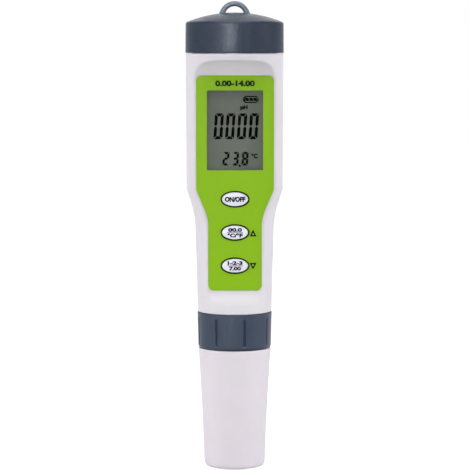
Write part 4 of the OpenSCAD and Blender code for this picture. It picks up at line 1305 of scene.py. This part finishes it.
@dataclass
class Studio:
    """The plain white studio and the camera, which stands where the photograph was taken from."""

    frame_px: float = 470.0
    focal_px: float = 2088.0
    axis_px: float = 234.6
    tilt: float = 4.96
    distance: float = 818.2
    height: float = 162.4
    azimuth: float = -0.9
    sensor: float = 36.0
    front_level: float = 0.02
    room_level: float = 0.6
    floor_half: float = 3000.0
    floor_tone: float = 0.6
    floor_lift: float = 0.76

    def camera(self) -> None:
        """Sets up the camera."""
        data = bpy.data.cameras.new("camera")
        data.sensor_width = self.sensor
        data.lens = self.sensor * self.focal_px / self.frame_px
        data.clip_start, data.clip_end = 0.01, 20
        camera = linked("camera", data)
        far, turn = self.distance * MM, math.radians(self.azimuth)
        camera.location = (far * math.sin(turn), -far * math.cos(turn), self.height * MM)
        yaw = turn + math.atan((self.axis_px - self.frame_px / 2) / self.focal_px)
        camera.rotation_euler = (math.radians(90 - self.tilt), 0, yaw)
        bpy.context.scene.camera = camera

    def light(self, name: str, place: Point, height: float, size: Point, power: float, aim: float = 0.1,
              spread: float = 180.0, gloss_only: bool = False, matt_only: bool = False) -> None:
        """Adds a soft box.

        Args:
            name: the lamp's name.
            place: its x and y, in metres.
            height: its height, in metres.
            size: its width and height, in metres.
            power: its power, in watts.
            aim: the height that it points at, in metres.
            spread: the angle that its grid lets the light out in, in degrees.
            gloss_only: whether it shows in reflections alone.
            matt_only: whether it stays out of reflections.
        """
        data = bpy.data.lights.new(name, "AREA")
        data.shape = "RECTANGLE"
        data.size, data.size_y = size
        data.energy = power
        data.spread = math.radians(spread)
        lamp = linked(name, data)
        lamp.location = (*place, height)
        lamp.rotation_euler = (Vector((0, 0, aim)) - lamp.location).to_track_quat("-Z", "Y").to_euler()
        lamp.visible_diffuse = not gloss_only
        lamp.visible_glossy = not matt_only

    def seen_by(self, tree: Tree, first: str, *others: str) -> Socket:
        """Gives 1 to some kinds of ray, such as those from the camera, and nought to the rest."""
        path = add_node(tree, "LightPath")
        seen = path.outputs[f"Is {first} Ray"]
        for ray in others:
            either = {0: seen, 1: path.outputs[f"Is {ray} Ray"]}
            seen = add_node(tree, "Math", either, operation="MAXIMUM").outputs[0]
        return seen

    def world(self) -> None:
        """Lights the object from all round, dimmest from the front, and shows as white itself."""
        world = bpy.data.worlds.new("studio")
        tree = blank(world)
        towards = add_node(tree, "TexCoord").outputs["Generated"]
        part = add_node(tree, "SeparateXYZ", {"Vector": towards})
        level = add_node(tree, "MapRange", {
            "Value": part.outputs["Y"], "From Min": -1.0, "From Max": 0.2, "To Min": self.front_level,
            "To Max": self.room_level})
        room = add_node(tree, "Background", {"Color": WHITE, "Strength": level.outputs["Result"]})
        plain = add_node(tree, "Background", {"Color": WHITE, "Strength": 1.0})
        seen = self.seen_by(tree, "Camera", "Glossy", "Transmission")
        mixed = add_node(tree, "MixShader", {0: seen, 1: room.outputs[0], 2: plain.outputs[0]})
        add_node(tree, "OutputWorld", {"Surface": mixed.outputs[0]})
        bpy.context.scene.world = world

    def floor(self) -> None:
        """Lays a pale floor that looks white and still takes the object's shadow."""
        bm = bmesh.new()
        bmesh.ops.create_grid(bm, x_segments=2, y_segments=2, size=self.floor_half)
        floor = to_object("floor", bm)
        material = bpy.data.materials.new("white_paper_floor")
        tree = blank(material)
        paper = add_node(tree, "BsdfDiffuse", {"Color": (*[self.floor_tone] * 3, 1)})
        lift = add_node(tree, "Math", {0: self.seen_by(tree, "Camera", "Glossy"), 1: self.floor_lift},
                        operation="MULTIPLY")
        glow = add_node(tree, "Emission", {"Color": WHITE, "Strength": lift.outputs[0]})
        both = add_node(tree, "AddShader", {0: paper.outputs[0], 1: glow.outputs[0]})
        add_node(tree, "OutputMaterial", {"Surface": both.outputs[0]})
        floor.data.materials.append(material)

    def build(self) -> None:
        """Sets up camera, world, floor and soft boxes."""
        bpy.context.scene.view_settings.view_transform = "Standard"
        self.camera()
        self.world()
        self.floor()
        self.light("key_box", (-0.1, -0.9), 0.1, (0.3, 0.3), 0.1, aim=0.05)
        self.light("glint_box", (-0.21, -0.87), 0.24, (0.16, 0.16), 0.29, aim=0.185, spread=18,
                   gloss_only=True)
        self.light("sheen_left", (-0.62, -0.65), 0.25, (0.3, 0.3), 0.13, aim=0.19, spread=22, gloss_only=True)
        self.light("sheen_right", (0.42, -0.8), 0.25, (0.3, 0.3), 0.13, aim=0.19, spread=22, gloss_only=True)
        self.light("left_box", (-0.95, -0.3), 0.3, (0.7, 0.8), 5.0)
        self.light("right_box", (0.95, -0.3), 0.12, (0.7, 0.8), 0.81, aim=0.02, spread=44)
        self.light("low_fill", (0.0, -0.16), 0.016, (0.3, 0.02), 0.067, aim=0.03, matt_only=True)
        self.light("top_box", (0.0, -0.34), 0.85, (0.6, 0.5), 2.75)
        self.light("rim_box", (0.0, -0.12), 0.9, (0.6, 0.6), 18.0, gloss_only=True)
        self.light("crown_box", (0.1, 0.85), 0.55, (0.8, 0.4), 1.0, aim=0.18, gloss_only=True)


PLAIN_NODES: dict[str, Finish] = {
    "lcd_glass": LCD_GLASS, "lcd_holder": FRAME_PLASTIC, "lcd_reflector": REFLECTOR_FILM,
    "zebra_strips": ZEBRA_SILICONE, "main_board": BOARD_LACQUER, "controller_chip": CHIP_RESIN,
    "board_components": CHIP_RESIN, "tactile_switches": DARK_ABS, "chassis": FRAME_PLASTIC,
    "board_screws": ZINC_STEEL, "battery_tray": DARK_ABS, "button_cells": CELL_STEEL,
    "cell_contacts": CONTACT_NICKEL, "probe_socket": SOCKET_PLASTIC, "cap_seal": LID_SEAL_RUBBER,
    "plunger_power": PLUNGER_PLASTIC, "plunger_hold": PLUNGER_PLASTIC, "plunger_mode": PLUNGER_PLASTIC,
    "probe_body": PROBE_ABS, "probe_guard": SLATE_ABS, "probe_pins": GOLD_PLATE, "probe_seal": SEAL_RUBBER,
    "stem_seal": SEAL_RUBBER, "collar_clip": SPRING_STEEL, "glass_bulb": BULB_GLASS,
    "inner_electrode": SILVER_WIRE, "reference_junction": CERAMIC, "conductivity_pins": PIN_STEEL,
    "temperature_sensor": PIN_STEEL, "storage_sponge": SPONGE_FOAM,
}


def dress_frame(nodes: dict[str, Piece]) -> None:
    """Gives every node that stays as the frame has it its finish."""
    for name, finish in PLAIN_NODES.items():
        finish.dress(nodes[name])


def main() -> None:
    """Builds the pen in order."""
    logging.basicConfig(level=logging.INFO, format="%(message)s")
    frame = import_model()
    dress_frame(frame["nodes"])
    keys = Keypad()
    panel = FrontPanel()
    Shell().build(panel, keys)
    panel.build(keys)
    keys.build()
    Display().build()
    BatteryCap().build()
    Collar().build()
    ProtectiveCap().build()
    Studio().build()


if __name__ == "__main__":
    main()
